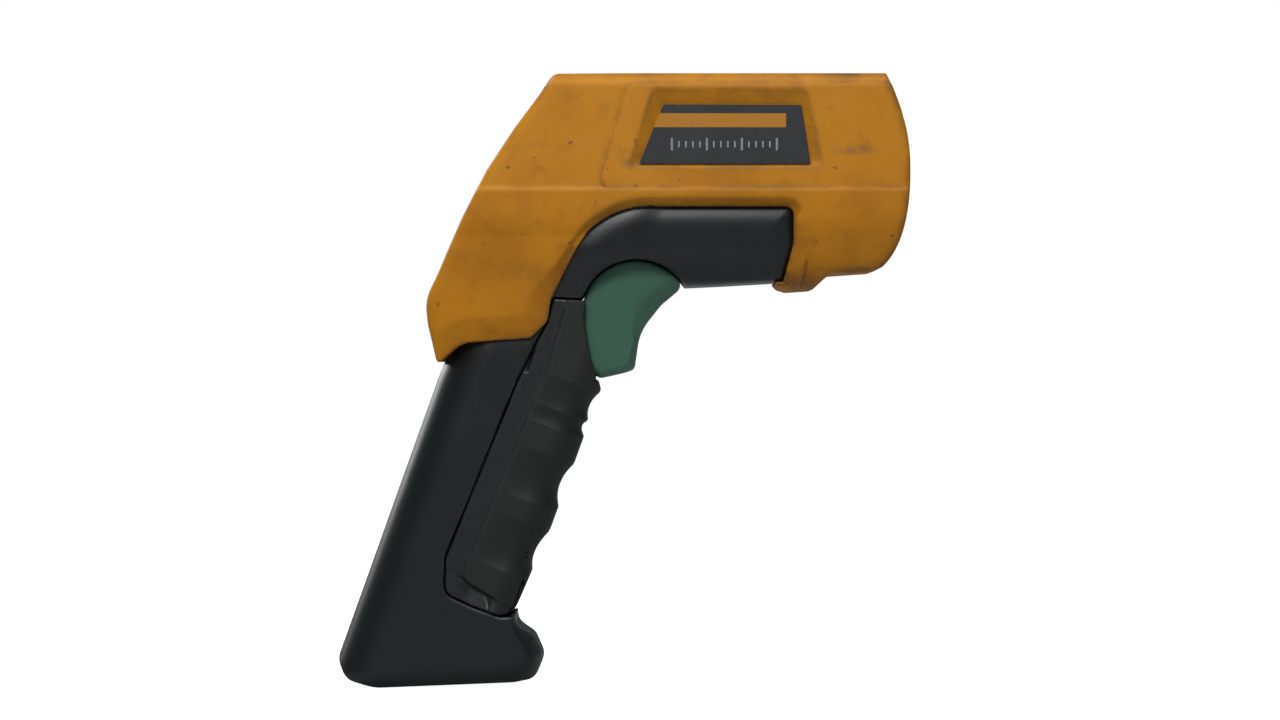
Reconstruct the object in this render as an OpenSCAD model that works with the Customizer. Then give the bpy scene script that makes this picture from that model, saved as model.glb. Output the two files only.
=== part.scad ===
// Handheld infrared thermometer with a pistol grip.
// X runs forward to the lens, Y to the instrument's left, Z up.
// The origin is the mouth of the tripod thread in the base.

/* [Overall size] */
// Height from the heel of the grip to the top of the head
overall_height = 176.9; // [147:0.1:213]
// Length from the heel of the grip to the rim of the hood
overall_length = 163.8; // [136:0.1:197]
// Widest part of the head
head_width = 51.8; // [46:0.1:63]
// Wall of the mouldings
wall = 2.4; // [1.8:0.1:3]

/* [Grip and base] */
// Width of the grip
grip_width = 37; // [36:0.1:44]
// Depth of the grip from its back to the finger side
grip_depth = 45.5; // [43:0.1:48]
// Radius of the grip's back corners
grip_back_r = 13; // [8:0.5:15]
// Height of the ridges between the fingers
finger_ridge = 2.2; // [0.8:0.1:3]
// Spacing of the finger grooves
finger_pitch = 21.5; // [16:0.1:23]
// Slope of the base, rising to the front
base_slope = 2.3; // [0:0.1:5]
// Bore inside the tripod thread (quarter inch, 20 per inch)
tripod_bore = 5.1; // [4.5:0.1:6]
// Depth of the tripod thread
tripod_depth = 8; // [6:0.5:9]

/* [Trigger] */
// Radius of the trigger's round top
trigger_top_r = 15.6; // [12:0.1:17]
// Width of the trigger
trigger_width = 31; // [24:0.5:31.4]
// Wall of the hollow trigger
trigger_wall = 2.2; // [1.6:0.1:3]
// Trigger pin
trigger_pin_d = 3; // [2:0.1:4]
// Trigger return spring
trigger_spring_d = 6; // [4:0.5:7]

/* [Battery door] */
// Door hinge pin
door_pin_d = 3; // [2:0.1:4]
// Gap between the door and the grip
door_gap = 0.3; // [0.2:0.05:0.6]
// Radius of the door's lower end, about its pin
door_end_r = 4.8; // [4:0.1:6]
// AA cell across
cell_d = 14.5; // [10.5:0.1:14.5]
// AA cell from end to end, with its button
cell_length = 50.5; // [44.5:0.1:50.5]

/* [Rear panel] */
// Length of the rear bezel
bezel_length = 64; // [56:0.5:66]
// Yellow rail left on each side of the bezel
bezel_rail = 4.9; // [4:0.1:7]
// Display window, along the slope
window_height = 34; // [28:0.5:36]
// Travel of the keys
key_travel = 0.5; // [0.3:0.05:0.6]
// Gap around each key
key_gap = 0.4; // [0.3:0.05:0.6]

/* [Optics] */
// Height of the optical axis
axis_height = 148; // [144:0.5:152]
// Lens across
lens_d = 27; // [20:0.5:28]
// Outside of the lens barrel
barrel_d = 31; // [30:0.5:34]
// How far the front plate sits back from the rim
hood_depth = 19; // [12:0.5:24]
// Laser module across
laser_d = 6.4; // [5:0.1:7]

/* [Fits] */
// Radial clearance of a running pin
running_fit = 0.05; // [0.02:0.01:0.1]
// Gap between fixed parts that are dropped in
drop_fit = 0.15; // [0.1:0.05:0.3]
// How far the grip moulding reaches up inside the head covers
lap = 4; // [2:0.5:6]
// Case screws, shaft across
screw_d = 2.8; // [2:0.1:3]

/* [Hidden] */

$fn = 48;
eps = 0.01;
yellow = [0.80, 0.52, 0.10];
charcoal = [0.14, 0.16, 0.16];
jade = [0.17, 0.38, 0.29];
steel = [0.72, 0.73, 0.74];
brass = [0.78, 0.62, 0.30];
board_green = [0.10, 0.32, 0.18];

// the drawn outlines are for the standard size and stretch with it
stretch_x = overall_length / 163.8;
stretch_z = overall_height / 176.9;
function at(x, z, r = 0) = [x * stretch_x, z * stretch_z, r];

half_head = head_width / 2;
half_arch = half_head - 3.6;
half_grip = grip_width / 2;
half_foot = half_grip - 0.15;
half_trigger = trigger_width / 2;

// the grip's own frame: up the back of the grip from the heel
heel = at(-29, 12.7);
nape = at(-1.1, 90.5);
rake = atan2(nape.x - heel.x, nape.y - heel.y);

// the rear panel's own frame: out from the middle of the sloping back
back_low = at(-2.8, 115.6);
back_high = at(31, 175);
back_mid = (back_low + back_high) / 2;
back_tilt = atan2(back_high.y - back_low.y, back_high.x - back_low.x);
bezel_width = head_width - 2 * bezel_rail;

hinge = at(17.1, 25.9);
pivot = at(54.4, 108.6);
top_mid = at(55.9, 107.3);
rim_x = 134.2 * stretch_x;
foot_x = 29.6 * stretch_x;
plate_x = rim_x - hood_depth;
plate_t = 3;
optic_z = axis_height * stretch_z;
laser_z = optic_z + barrel_d / 2 + laser_d / 2 + 1.4;

// how far the thread's mouth is above the lowest point of the heel
mouth_rise = 0.8 * stretch_z;

// ---------- outline helpers ----------

function unit(v) = v / norm(v);
function flat(p) = [p.x, p.y];

// one corner of an outline, rounded to the radius kept in its third value
function corner(a, b, c, r) =
    let (u = unit(flat(a) - flat(b)), v = unit(flat(c) - flat(b)),
         w = acos(u * v), sweep = 180 - w)
    (r <= 0 || sweep < 1) ? [flat(b)] :
    let (o = flat(b) + unit(u + v) * r / sin(w / 2),
         p = flat(b) + u * r / tan(w / 2) - o,
         q = flat(b) + v * r / tan(w / 2) - o,
         n = max(2, ceil(sweep / 12)))
    [for (k = [0:n])
        o + (p * sin(sweep * (1 - k / n)) + q * sin(sweep * k / n)) / sin(sweep)];

function rounded(pts) =
    let (n = len(pts))
    [for (i = [0:n - 1])
        each corner(pts[(i + n - 1) % n], pts[i], pts[(i + 1) % n], pts[i][2])];

function bezier(a, b, c, d, n) = [for (k = [0:n]) let (t = k / n, s = 1 - t)
    [each (flat(a) * s * s * s + flat(b) * 3 * s * s * t
         + flat(c) * 3 * s * t * t + flat(d) * t * t * t), 0]];

function arc(c, r, from, to, n) = [for (k = [0:n])
    let (a = from + (to - from) * k / n)
    [c.x + r * cos(a), c.y + r * sin(a), 0]];

// side-view outline run across the width, from y0 to y1
module across(y0, y1)
    translate([0, y1, 0]) rotate([90, 0, 0]) linear_extrude(y1 - y0) children();

// front-view outline run along the length, from x0 to x1
module along(x0, x1)
    translate([x0, 0, 0]) rotate([90, 0, 90]) linear_extrude(x1 - x0) children();

module on_grip() translate([heel.x, 0, heel.y]) rotate([0, rake, 0]) children();
module on_back() translate([back_mid.x, 0, back_mid.y])
    rotate([0, -back_tilt, 0]) children();
module stand() translate([0, 0, -mouth_rise]) children();
module on_side(side) scale_side(side) translate([0, side_y, side_z])
    rotate([side_lean, 0, 0]) children();
module scale_side(side) mirror([0, side < 0 ? 1 : 0, 0]) children();
module half(side) intersection() {
    children();
    scale_side(side) translate([-100, 0, -50]) cube([350, 100, 350]);
}
module rod_x(d, x0, x1) translate([x0, 0, 0]) rotate([0, 90, 0])
    cylinder(d = d, h = x1 - x0);
module rod_y(d, y0, y1) translate([0, y1, 0]) rotate([90, 0, 0])
    cylinder(d = d, h = y1 - y0);
module block(x0, x1, y0, y1, z0, z1)
    translate([x0, y0, z0]) cube([x1 - x0, y1 - y0, z1 - z0]);
module rounded_rect(l, w, r) polygon(rounded([
    [-l / 2, -w / 2, r], [l / 2, -w / 2, r], [l / 2, w / 2, r], [-l / 2, w / 2, r]]));

// a wound spring as rings with a link between each pair
module coil(d, wire, length, turns) {
    step = (length - wire) / turns;
    for (k = [0:turns]) translate([0, 0, wire / 2 + k * step])
        rotate_extrude($fn = 24) translate([(d - wire) / 2, 0]) circle(d = wire, $fn = 14);
    for (k = [0:turns - 1]) rotate(180 * k) translate([(d - wire) / 2, 0, wire / 2 + k * step])
        cylinder(d = wire * 0.8, h = step, $fn = 14);
}

// ---------- side outlines ----------

// the moulded head covers
cover_edge = [
    at(100.8, 138.4, 2.2), at(44.9, 138.4, 24), at(31.4, 112, 10),
    at(30.4, 105.5, 4), at(25.5, 100.7, 3), at(6, 99.4, 8), at(-1.2, 93.2, 0.8)];
hood_curve = concat(
    bezier(at(127.6, 176.9), at(130.6, 169.2), at(134.2, 161.5), at(134.2, 149.5), 8),
    bezier(at(134.2, 149.5), at(134.2, 136), at(131.6, 126), at(126.5, 121.2), 8));
cover_outline = rounded(concat(
    [at(-3.9, 104.5, 14), at(-4.6, 111.5, 12)],
    [at(12.2, 149, 150), at(32.2, 176.9, 3)],
    hood_curve,
    [at(123.8, 119.8, 3), at(111, 118.9, 4), at(106.4, 114.4, 3),
     at(97.6, 113.7, 3), at(95.2, 116.9, 0), at(98, 117, 0), at(100.8, 128, 10)],
    cover_edge));

// the grip, the arch over the trigger and the foot
function base_z(x) = 0.8 + x * tan(base_slope);
foot_outline = [
    at(17.1, 30, 0), at(17.1, 20.9, 0), at(19.5, 21.3, 0),
    at(21.5, 21.9, 0), at(21.5, 18.4, 2), at(26.4, 15.1, 4), at(29.3, 9, 4),
    at(26.6, 2.6, 4), at(20.5, base_z(20.5), 8), at(-19, base_z(-19), 12),
    at(-27.6, 2.6, 5), at(-30.6, 8.4, 5)];
grip_outline = rounded(concat(
    [at(44, 88.2, 0)], foot_outline,
    [at(5.8, 109.8, 0), at(34, 118, 0), at(46, 150, 0), at(100.8, 150, 0),
     at(100.8, 128, 10), at(98, 117, 0)],
    arc(top_mid, trigger_top_r + 0.5, 29.8, 152, 12),
    [at(40.2, 112.4, 0), at(40.2, 105.9, 0), at(41, 96, 0)]));

// the battery door, closed
door_front = hinge + door_end_r * [cos(-20), sin(-20), 0];
door_outline = rounded(concat(
    [at(44.8, 88.4, 0.8), at(45.5, 85.9, 1), at(30.5, 44.5, 6), at(24.6, 31.2, 3)],
    [[door_front.x, door_front.y, 0]],
    arc(hinge, door_end_r, -30, -110, 6),
    [at(8.5, 24, 8), at(0.9, 27.6, 4), at(1.1, 37.6, 6), at(21.9, 88.6, 40),
     at(30.3, 105.5, 6), at(32.1, 112.2, 0.6),
     at(41.4, 111.6, 0.8), at(40.9, 105.9, 6), at(42.6, 96, 6)]));

// the trigger, with its hidden back edge
trigger_back_x = 38.5 * stretch_x;
trigger_outline = rounded(concat(
    arc(top_mid, trigger_top_r, 158, 42, 12),
    [at(69.6, 115.6, 2.2), at(63.4, 110.4, 8), at(57.1, 102.5, 14),
     at(55.6, 91.4, 2), at(45.6, 89.2, 2),
     [trigger_back_x, 92.6 * stretch_z, 1.5], [trigger_back_x, 105.5 * stretch_z, 2]]));

// the label on each side
plate_outline = rounded([
    at(63.5, 167.8, 0.8), at(103.2, 167.6, 0.8), at(105.8, 150.4, 0.8), at(56.4, 150.4, 0.8)]);

// ---------- front sections: half widths against height ----------

brow_z = 173.9 * stretch_z;
waist_z = 143.9 * stretch_z;
side_lean = atan2(2, brow_z - waist_z);
side_z = (brow_z + waist_z) / 2;
side_y = half_head - 1.7;
roof_z = 176.9 * stretch_z;

head_upper = [
    [-(half_head - 6.4), roof_z, 2], [half_head - 6.4, roof_z, 2],
    [half_head - 2.7, brow_z, 2], [half_head - 0.7, waist_z, 0],
    [half_head, waist_z - 0.7, 0.5]];
head_upper_other_side = [
    [-half_head, waist_z - 0.7, 0.5], [-(half_head - 0.7), waist_z, 0],
    [-(half_head - 2.7), brow_z, 2]];
barrel_section = rounded(concat(head_upper, [
    [half_head, 140.5 * stretch_z, 0], [half_head, 113.5 * stretch_z, 24],
    [-half_head, 113.5 * stretch_z, 24], [-half_head, 140.5 * stretch_z, 0]],
    head_upper_other_side));
shoulder_section = rounded(concat(head_upper, [
    [half_head, 140.5 * stretch_z, 8], [half_grip + 3.4, 101 * stretch_z, 1.5],
    [half_grip + 0.9, 94 * stretch_z, 0], [half_grip + 0.9, 60, 0],
    [-(half_grip + 0.9), 60, 0], [-(half_grip + 0.9), 94 * stretch_z, 0],
    [-(half_grip + 3.4), 101 * stretch_z, 1.5], [-half_head, 140.5 * stretch_z, 8]],
    head_upper_other_side));
arch_section = rounded([
    [half_arch, 160 * stretch_z, 0], [half_arch, 115 * stretch_z, 13],
    [-half_arch, 115 * stretch_z, 13], [-half_arch, 160 * stretch_z, 0]]);

// ---------- the two mouldings as solids, grown or shrunk ----------

module whole_outline() { polygon(cover_outline); polygon(grip_outline); }

module head_form(grow) intersection() {
    across(-60, 60) offset(delta = grow) whole_outline();
    union() {
        along(-20, 160 * stretch_x) offset(delta = grow) polygon(barrel_section);
        along(-20, 59 * stretch_x) offset(delta = grow) polygon(shoulder_section);
    }
}

module grip_visible() difference() { polygon(grip_outline); polygon(cover_outline); }

// what the grip's moulding is cut from: an arch, a tilted grip and a foot
module grip_sections(grow) {
    along(28 * stretch_x - grow, 160 * stretch_x) offset(delta = grow) polygon(arch_section);
    on_grip() translate([0, 0, -60]) linear_extrude(200)
        offset(delta = grow) polygon(rounded([
            [0, -half_grip, grip_back_r], [grip_depth, -half_grip, 9],
            [grip_depth, half_grip, 9], [0, half_grip, grip_back_r]]));
    translate([0, 0, -10]) linear_extrude(10 + hinge.y - door_end_r + grow)
        offset(delta = grow) polygon(rounded([
            [-8 * stretch_x, -half_foot, 0], [foot_x, -half_foot, 13],
            [foot_x, half_foot, 13], [-8 * stretch_x, half_foot, 0]]));
}

// the grip moulding, with the lap that reaches up inside the covers
module grip_form(grow) intersection() {
    across(-60, 60) offset(delta = grow) {
        grip_visible();
        intersection() {
            offset(delta = lap) grip_visible();
            offset(delta = -wall - 0.2) whole_outline();
            square([98 * stretch_x, 300]);
        }
    }
    grip_sections(grow);
}

// the room inside each moulding, one wall in from its outer faces
module head_room() { intersection() {
    head_form(-wall);
    across(-60, 60) polygon(cover_outline);
} hood_mouth(); }
module grip_room() intersection() {
    across(-60, 60) offset(delta = -wall) whole_outline();
    grip_sections(-wall);
}

// the open front of the head, above the chin
chin_z = 119.8 * stretch_z;
module hood_section(grow) intersection() {
    offset(delta = grow) polygon(barrel_section);
    translate([-60, chin_z - grow]) square([120, roof_z - chin_z + 2 * grow]);
}
module hood_mouth() along(plate_x - eps, 160 * stretch_x) hood_section(-wall);

// places along the width's seam where screws draw the halves together
grip_screws = [at(-19, 12), at(13.5, 9.5), at(9.5, 82), at(84, 126)];
head_screws = [at(50, 169), at(88, 169), at(106, 124)];

module boss_at(places, d, y0, y1) for (p = places)
    translate([p.x, 0, p.y]) rod_y(d, y0, y1);

// a screw runs in from the left: head, shaft and the hole for each
screw_head_d = 5.2;
screw_head_h = 1.8;
screw_seat = 6;
screw_reach = 8;
module screw() {
    rod_y(screw_head_d, screw_seat, screw_seat + screw_head_h);
    rod_y(screw_d, -screw_reach, screw_seat);
}
module screw_holes(places) for (p = places) translate([p.x, 0, p.y]) {
    rod_y(screw_d, -screw_reach - 0.5, 0);
    rod_y(screw_d + 0.4, -eps, screw_seat);
    rod_y(screw_head_d + 0.4, screw_seat, 60);
}

// ---------- housings and covers ----------

module grip_shell() difference() {
    union() {
        difference() { grip_form(0); grip_room(); }
        intersection() { grip_form(0); boss_at(grip_screws, 7.6, -60, 60); }
        // the base is thick round the tripod thread
        translate([0, 0, mouth_rise]) rotate([0, -base_slope, 0])
            translate([-9, -9, 1]) cube([18, 18, 10]);
        trigger_shelf();
        trigger_bridge();
        hinge_arms();
    }
    battery_door_space();
    translate([0, 0, mouth_rise]) rotate([0, -base_slope, 0]) translate([0, 0, -4])
        insert_blank(4 + insert_length);
    translate([pivot.x, 0, pivot.y]) rod_y(trigger_pin_d, -9, 9);
    translate([hinge.x, 0, hinge.y]) rod_y(door_pin_d, -half_grip + 0.5, half_grip - 0.5);
    screw_holes(grip_screws);
}

// shelf behind the trigger, for its spring and the switch
module trigger_shelf() {
    block(shelf_x - 4, shelf_x, -15.4, 15.4, 88 * stretch_z, 104 * stretch_z);
    block(shelf_x - 4, shelf_x, -7, 7, 103 * stretch_z, 111 * stretch_z);
    block(shelf_x - 4, shelf_x - 0.4, -(half_grip - 1), half_grip - 1,
        99.8 * stretch_z, 103.4 * stretch_z);
}

// bridge across the arch and the two lugs that carry the trigger pin
lug_r = 3.3;
module trigger_bridge() {
    block(46 * stretch_x, 68 * stretch_x, -half_arch + 1.2, half_arch - 1.2,
        125.5 * stretch_z, 128.5 * stretch_z);
    for (s = [0, 1]) mirror([0, s, 0]) {
        across(5, 8) polygon([flat(pivot) + [-lug_r, 0], flat(pivot) + [lug_r, 0],
            [pivot.x + lug_r, 126 * stretch_z], [pivot.x - lug_r, 126 * stretch_z]]);
        translate([pivot.x, 0, pivot.y]) rod_y(2 * lug_r, 5, 8);
    }
}

// arms that reach into the door's channel and carry its pin
arm_out = half_grip - wall - 0.1;
arm_in = arm_out - 2.9;
module hinge_arms() for (s = [0, 1]) mirror([0, s, 0]) {
    translate([hinge.x, 0, hinge.y]) rod_y(6.8, arm_in, arm_out);
    across(arm_in, arm_out) polygon([flat(hinge) + [-1.5, -3], flat(hinge) + [1.5, 3],
        flat(at(8, 19.5)), flat(at(10, 12.5))]);
    block(3 * stretch_x, 11 * stretch_x, arm_in, half_grip - 0.6,
        11 * stretch_z, 18.8 * stretch_z);
}

// room for the door, round the shelf and the arms
module battery_door_space() difference() {
    across(-60, 60) offset(delta = door_gap) polygon(door_outline);
    block(shelf_x - 4.5, shelf_x + 0.5, -15.45, 15.45, 87 * stretch_z, 112 * stretch_z);
    for (s = [0, 1]) mirror([0, s, 0]) block(-5, hinge.x + 4, arm_in - 0.05, arm_out + 0.05,
        15, hinge.y + 4);
}

module left_housing() color(charcoal) stand() half(1) grip_shell();
module right_housing() color(charcoal) stand() half(-1) grip_shell();

module cover_shell() difference() {
    union() {
        difference() {
            intersection() { head_form(0); across(-60, 60) polygon(cover_outline); }
            head_room();
            grip_form(0.1);
        }
        // seat under the rear bezel
        intersection() {
            on_back() translate([0, 0, -3.2])
                cube([bezel_length + 5, bezel_width + 4, 2], center = true);
            head_form(-0.5);
        }
        // ledge the front plate rests against
        intersection() {
            head_form(-0.5);
            across(-60, 60) polygon(cover_outline);
            along(plate_x - 3, plate_x) difference() {
                offset(delta = 5) hood_section(0);
                hood_section(-wall - 2.5);
            }
        }
        intersection() {
            head_form(-0.5);
            difference() {
                boss_at(head_screws, 7.6, -60, 60);
                along(plate_x, 300) translate([-60, 0]) square([120, 300]);
            }
        }
    }
    // opening for the rear bezel and what is behind it
    on_back() {
        translate([0, 0, 17.8]) cube([bezel_length + 2 * drop_fit,
            bezel_width + 2 * drop_fit, 40], center = true);
        translate([0, 0, -4]) cube([bezel_length - 4.4, bezel_width - 5.6, 10], center = true);
    }
    screw_holes(head_screws);
    for (s = [-1, 1]) on_side(s) {
        // the label's pocket
        translate([0, 0, -side_z]) across(-1.6, 20) polygon(plate_outline);
    }
}

module cover_half(side) half(side) difference() {
    union() {
        cover_shell();
        if (side > 0) difference() {
            block(port_x0 - 2, port_x1 + 2, port_floor - 2.2, port_floor + 1.5,
                port_z0 - 0.8, port_z1 + 2);
            grip_form(0.1);
        }
    }
    if (side > 0) {
        block(port_x0, port_x1, port_floor, 60, port_z0, port_z1);
        block(probe_x0 - 0.1, probe_x0 + 16.1, 5, 60, probe_z0 - 0.1, probe_z0 + 6.6);
        block(usb_x0 - 0.1, usb_x0 + 9.1, 5, 60, usb_z0 - 0.1, usb_z0 + 4.6);
    }
}

module left_cover() color(yellow) stand() cover_half(1);
module right_cover() color(yellow) stand() cover_half(-1);

module label(side) color([0.18, 0.19, 0.20]) stand() on_side(side)
    translate([0, 0, -side_z]) across(-1.6, -0.9)
        offset(delta = -drop_fit) polygon(plate_outline);
module left_label() label(1);
module right_label() label(-1);

module housing_screws() color(steel) stand()
    for (p = grip_screws) translate([p.x, 0, p.y]) screw();
module cover_screws() color(steel) stand()
    for (p = head_screws) translate([p.x, 0, p.y]) screw();

// the brass insert is eight-sided so that it can't turn; its thread is drawn as its bore
insert_r = 5.4;
insert_length = 9.5;
module insert_blank(h) rotate(22.5) cylinder(r = insert_r, h = h, $fn = 8);
module tripod_insert() color(brass) rotate([0, -base_slope, 0]) difference() {
    insert_blank(insert_length);
    translate([0, 0, -1]) cylinder(d = tripod_bore, h = 1 + tripod_depth);
}

// ---------- rear panel ----------

window_width = bezel_width - 8;
window_mid = bezel_length / 2 - 4 - window_height / 2;
key_mid = -bezel_length / 2 + 13.5;
side_key_y = bezel_width / 2 - 9.2;
// each key: place along the slope, place across, length, width
key_spots = [[key_mid, side_key_y, 9, 10.4], [key_mid, -side_key_y, 9, 10.4],
    [key_mid + 4.6, 0, 6.6, 9.4], [key_mid - 4.6, 0, 6.6, 9.4]];
bezel_back = -2.2;
board_front = -5;
board_back = -6.6;
key_rise = 4.2;

module rear_bezel() color(charcoal) stand() on_back() difference() {
    translate([0, 0, bezel_back]) linear_extrude(2.4)
        rounded_rect(bezel_length, bezel_width, 1);
    translate([window_mid, 0, bezel_back - 1]) linear_extrude(9)
        rounded_rect(window_height - 2, window_width - 2, 1.5);
    translate([window_mid, 0, -1]) linear_extrude(9)
        rounded_rect(window_height, window_width, 2);
    for (k = key_spots) translate([k[0], k[1], bezel_back - 1]) linear_extrude(9)
        rounded_rect(k[2] + 2 * key_gap, k[3] + 2 * key_gap, 2);
}

module display_window() color([0.55, 0.62, 0.60, 0.5]) stand() on_back()
    translate([window_mid, 0, -1]) linear_extrude(1)
        rounded_rect(window_height - 2 * drop_fit, window_width - 2 * drop_fit, 1.9);

module display_module() color([0.60, 0.66, 0.58]) stand() on_back() {
    translate([window_mid, 0, (board_front + bezel_back) / 2])
        cube([window_height - 1, window_width - 1.4, bezel_back - board_front], center = true);
}

module key(k) color([0.22, 0.24, 0.25]) stand() on_back() {
    translate([k[0], k[1], bezel_back - 1]) linear_extrude(key_rise)
        rounded_rect(k[2], k[3], 1.6);
    translate([k[0], k[1], bezel_back - 1]) linear_extrude(0.7)
        rounded_rect(k[2] + 1.4, k[3] + 1.4, 1.6);
}
module key_left() key(key_spots[0]);
module key_right() key(key_spots[1]);
module key_up() key(key_spots[2]);
module key_down() key(key_spots[3]);

module keypad_membrane() color([0.35, 0.36, 0.37]) stand() on_back() {
    translate([key_mid + 0.1, 0, board_front + 0.4])
        cube([18, window_width - 2, 0.8], center = true);
    for (k = key_spots) translate([k[0], k[1], board_front + 0.4])
        cylinder(r = 2.2, h = 0.65);
}

// four screws hold the board to the bezel
board_x = bezel_length / 2 - 3.3;
board_y = bezel_width / 2 - 6;
module main_board() color(board_green) stand() on_back() difference() {
    translate([0, 0, (board_front + board_back) / 2])
        cube([bezel_length - 2, bezel_width - 8, board_front - board_back], center = true);
    for (x = [-1, 1], y = [-1, 1])
        translate([x * board_x, y * board_y, board_back - 1]) cylinder(d = 2.2, h = 4);
}

module board_screws() color(steel) stand() on_back()
    for (x = [-1, 1], y = [-1, 1])
        translate([x * board_x, y * board_y, 0]) {
            translate([0, 0, board_back - 1.2]) cylinder(d = 4, h = 1.2);
            translate([0, 0, board_back - eps]) cylinder(d = 2, h = bezel_back - board_back);
        }

module buzzer() color([0.1, 0.1, 0.1]) stand() on_back()
    translate([-8, 8, board_back - 3]) cylinder(r = 6, h = 3);

// ---------- optics ----------

module front_bezel() color(charcoal) stand() difference() {
    along(plate_x, plate_x + plate_t) hood_section(-wall - drop_fit);
    translate([0, 0, optic_z]) rod_x(barrel_d + 2 * running_fit, plate_x - 1, plate_x + 9);
    translate([0, 0, laser_z]) rod_x(laser_d + 2 * running_fit, plate_x - 1, plate_x + 9);
}

barrel_back = plate_x - 30;
barrel_front = plate_x + plate_t + 3;
module lens_barrel() color([0.10, 0.11, 0.12]) stand() translate([0, 0, optic_z]) difference() {
    union() {
        rod_x(barrel_d, barrel_back, barrel_front);
        rod_x(barrel_d + 1.4, plate_x - 2, plate_x);
    }
    rod_x(lens_d - 3, barrel_back - 1, barrel_front + 1);
    rod_x(lens_d + 2 * drop_fit, plate_x, barrel_front + 1);
}

module lens() color([0.55, 0.60, 0.62]) stand() translate([plate_x, 0, optic_z])
    rotate([0, 90, 0]) rotate_extrude() intersection() {
        translate([0, -30]) square([lens_d / 2, 60]);
        translate([0, 0]) square([60, 4]);
        translate([0, 3.2 - 60]) circle(r = 60, $fn = 360);
    }

module lens_ring() color(charcoal) stand() translate([0, 0, optic_z]) difference() {
    rod_x(lens_d + 2 * drop_fit, plate_x + 3.3, plate_x + 5.3);
    rod_x(lens_d - 3, plate_x, plate_x + 9);
}

module sensor_board() color(board_green) stand() translate([0, 0, optic_z])
    rod_x(barrel_d - 2, barrel_back - 1.6, barrel_back);

module detector() color(steel) stand() translate([0, 0, optic_z]) {
    rod_x(8.2, barrel_back, barrel_back + 6);
    rod_x(9.3, barrel_back, barrel_back + 1);
}

module laser_module() color(brass) stand() translate([0, 0, laser_z]) {
    rod_x(laser_d, plate_x - 14, plate_x + 1.6);
    rod_x(laser_d + 0.8, plate_x - 14, plate_x);
}
module laser_window() color([0.5, 0.1, 0.1, 0.6]) stand() translate([0, 0, laser_z])
    rod_x(laser_d, plate_x + 1.6, plate_x + 2.4);

// flat cable from the main board to the sensor board
module ribbon_cable() color([0.75, 0.45, 0.15]) stand() across(-5, 5) {
    tail = [barrel_back - 1.6, optic_z];
    root = [back_mid.x + 8, back_mid.y - 4];
    polygon([[root.x - 1.4, root.y + 1.6], [root.x + 8, root.y + 5], [tail.x - 8, tail.y - 3],
        [tail.x, tail.y], [tail.x, tail.y - 0.4], [tail.x - 8, tail.y - 3.4],
        [root.x + 8, root.y + 4.6], [root.x - 1.2, root.y + 1.2]]);
}

// ---------- ports on the left side ----------

port_floor = half_head - 6.4;
port_x0 = 7 * stretch_x;
port_x1 = port_x0 + 19;
port_z0 = 106 * stretch_z;
port_z1 = port_z0 + 15;
probe_x0 = port_x0 + 1.5;
probe_z0 = port_z0 + 7;
usb_x0 = port_x0 + 5;
usb_z0 = port_z0 + 1.2;

module probe_socket() color([0.12, 0.35, 0.15]) stand() difference() {
    union() {
        block(probe_x0, probe_x0 + 16, port_floor - 11, port_floor, probe_z0, probe_z0 + 6.5);
        block(probe_x0 - 0.8, probe_x0 + 16.8, port_floor - 4, port_floor - 2.2,
            probe_z0 - 0.3, probe_z0 + 7.2);
    }
    block(probe_x0 + 2.5, probe_x0 + 5.9, port_floor - 9, port_floor + 1,
        probe_z0 + 2.7, probe_z0 + 3.8);
    block(probe_x0 + 10.5, probe_x0 + 13, port_floor - 9, port_floor + 1,
        probe_z0 + 2.7, probe_z0 + 3.8);
}

module usb_socket() color(steel) stand() difference() {
    union() {
        block(usb_x0, usb_x0 + 9, port_floor - 9, port_floor, usb_z0, usb_z0 + 4.5);
        block(usb_x0 - 0.8, usb_x0 + 9.8, port_floor - 4, port_floor - 2.2,
            usb_z0 - 0.6, usb_z0 + 4.8);
    }
    block(usb_x0 + 0.7, usb_x0 + 8.3, port_floor - 7, port_floor + 1,
        usb_z0 + 0.7, usb_z0 + 3.8);
}

// a flap that turns about its round lower edge
flap_t = 2.4;
module port_cover() color([0.10, 0.11, 0.11]) stand() {
    block(port_x0 + 0.3, port_x1 - 0.3, port_floor + 0.3, port_floor + 0.3 + flap_t,
        port_z0 + 0.3 + flap_t / 2, port_z1 - 0.3);
    translate([0, port_floor + 0.3 + flap_t / 2, port_z0 + 0.3 + flap_t / 2])
        rod_x(flap_t, port_x0 + 0.3, port_x1 - 0.3);
}

// ---------- trigger and switch ----------

shelf_x = 25.5 * stretch_x;
spring_z = 94 * stretch_z;
switch_z = 101 * stretch_z;

module trigger() color(jade) stand() difference() {
    across(-half_trigger, half_trigger) polygon(trigger_outline);
    across(-half_trigger + trigger_wall, half_trigger - trigger_wall)
        offset(delta = -trigger_wall) polygon(trigger_outline);
    // the round top is open for the lugs
    across(-9.5, 9.5) polygon([flat(pivot) + [-16, 6], flat(pivot) + [14, 6],
        flat(pivot) + [12, 20], flat(pivot) + [-18, 20]]);
    translate([pivot.x, 0, pivot.y])
        rod_y(trigger_pin_d + 2 * running_fit, -half_trigger + 0.7, half_trigger - 0.7);
}

module trigger_pin() color(steel) stand() translate([pivot.x, 0, pivot.y])
    rod_y(trigger_pin_d, -half_trigger + 0.8, half_trigger - 0.8);

module trigger_spring() color(steel) stand() translate([shelf_x, 0, spring_z])
    rotate([0, 90, 0]) coil(trigger_spring_d, 0.7, trigger_back_x - shelf_x - 0.05, 7);

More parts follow.
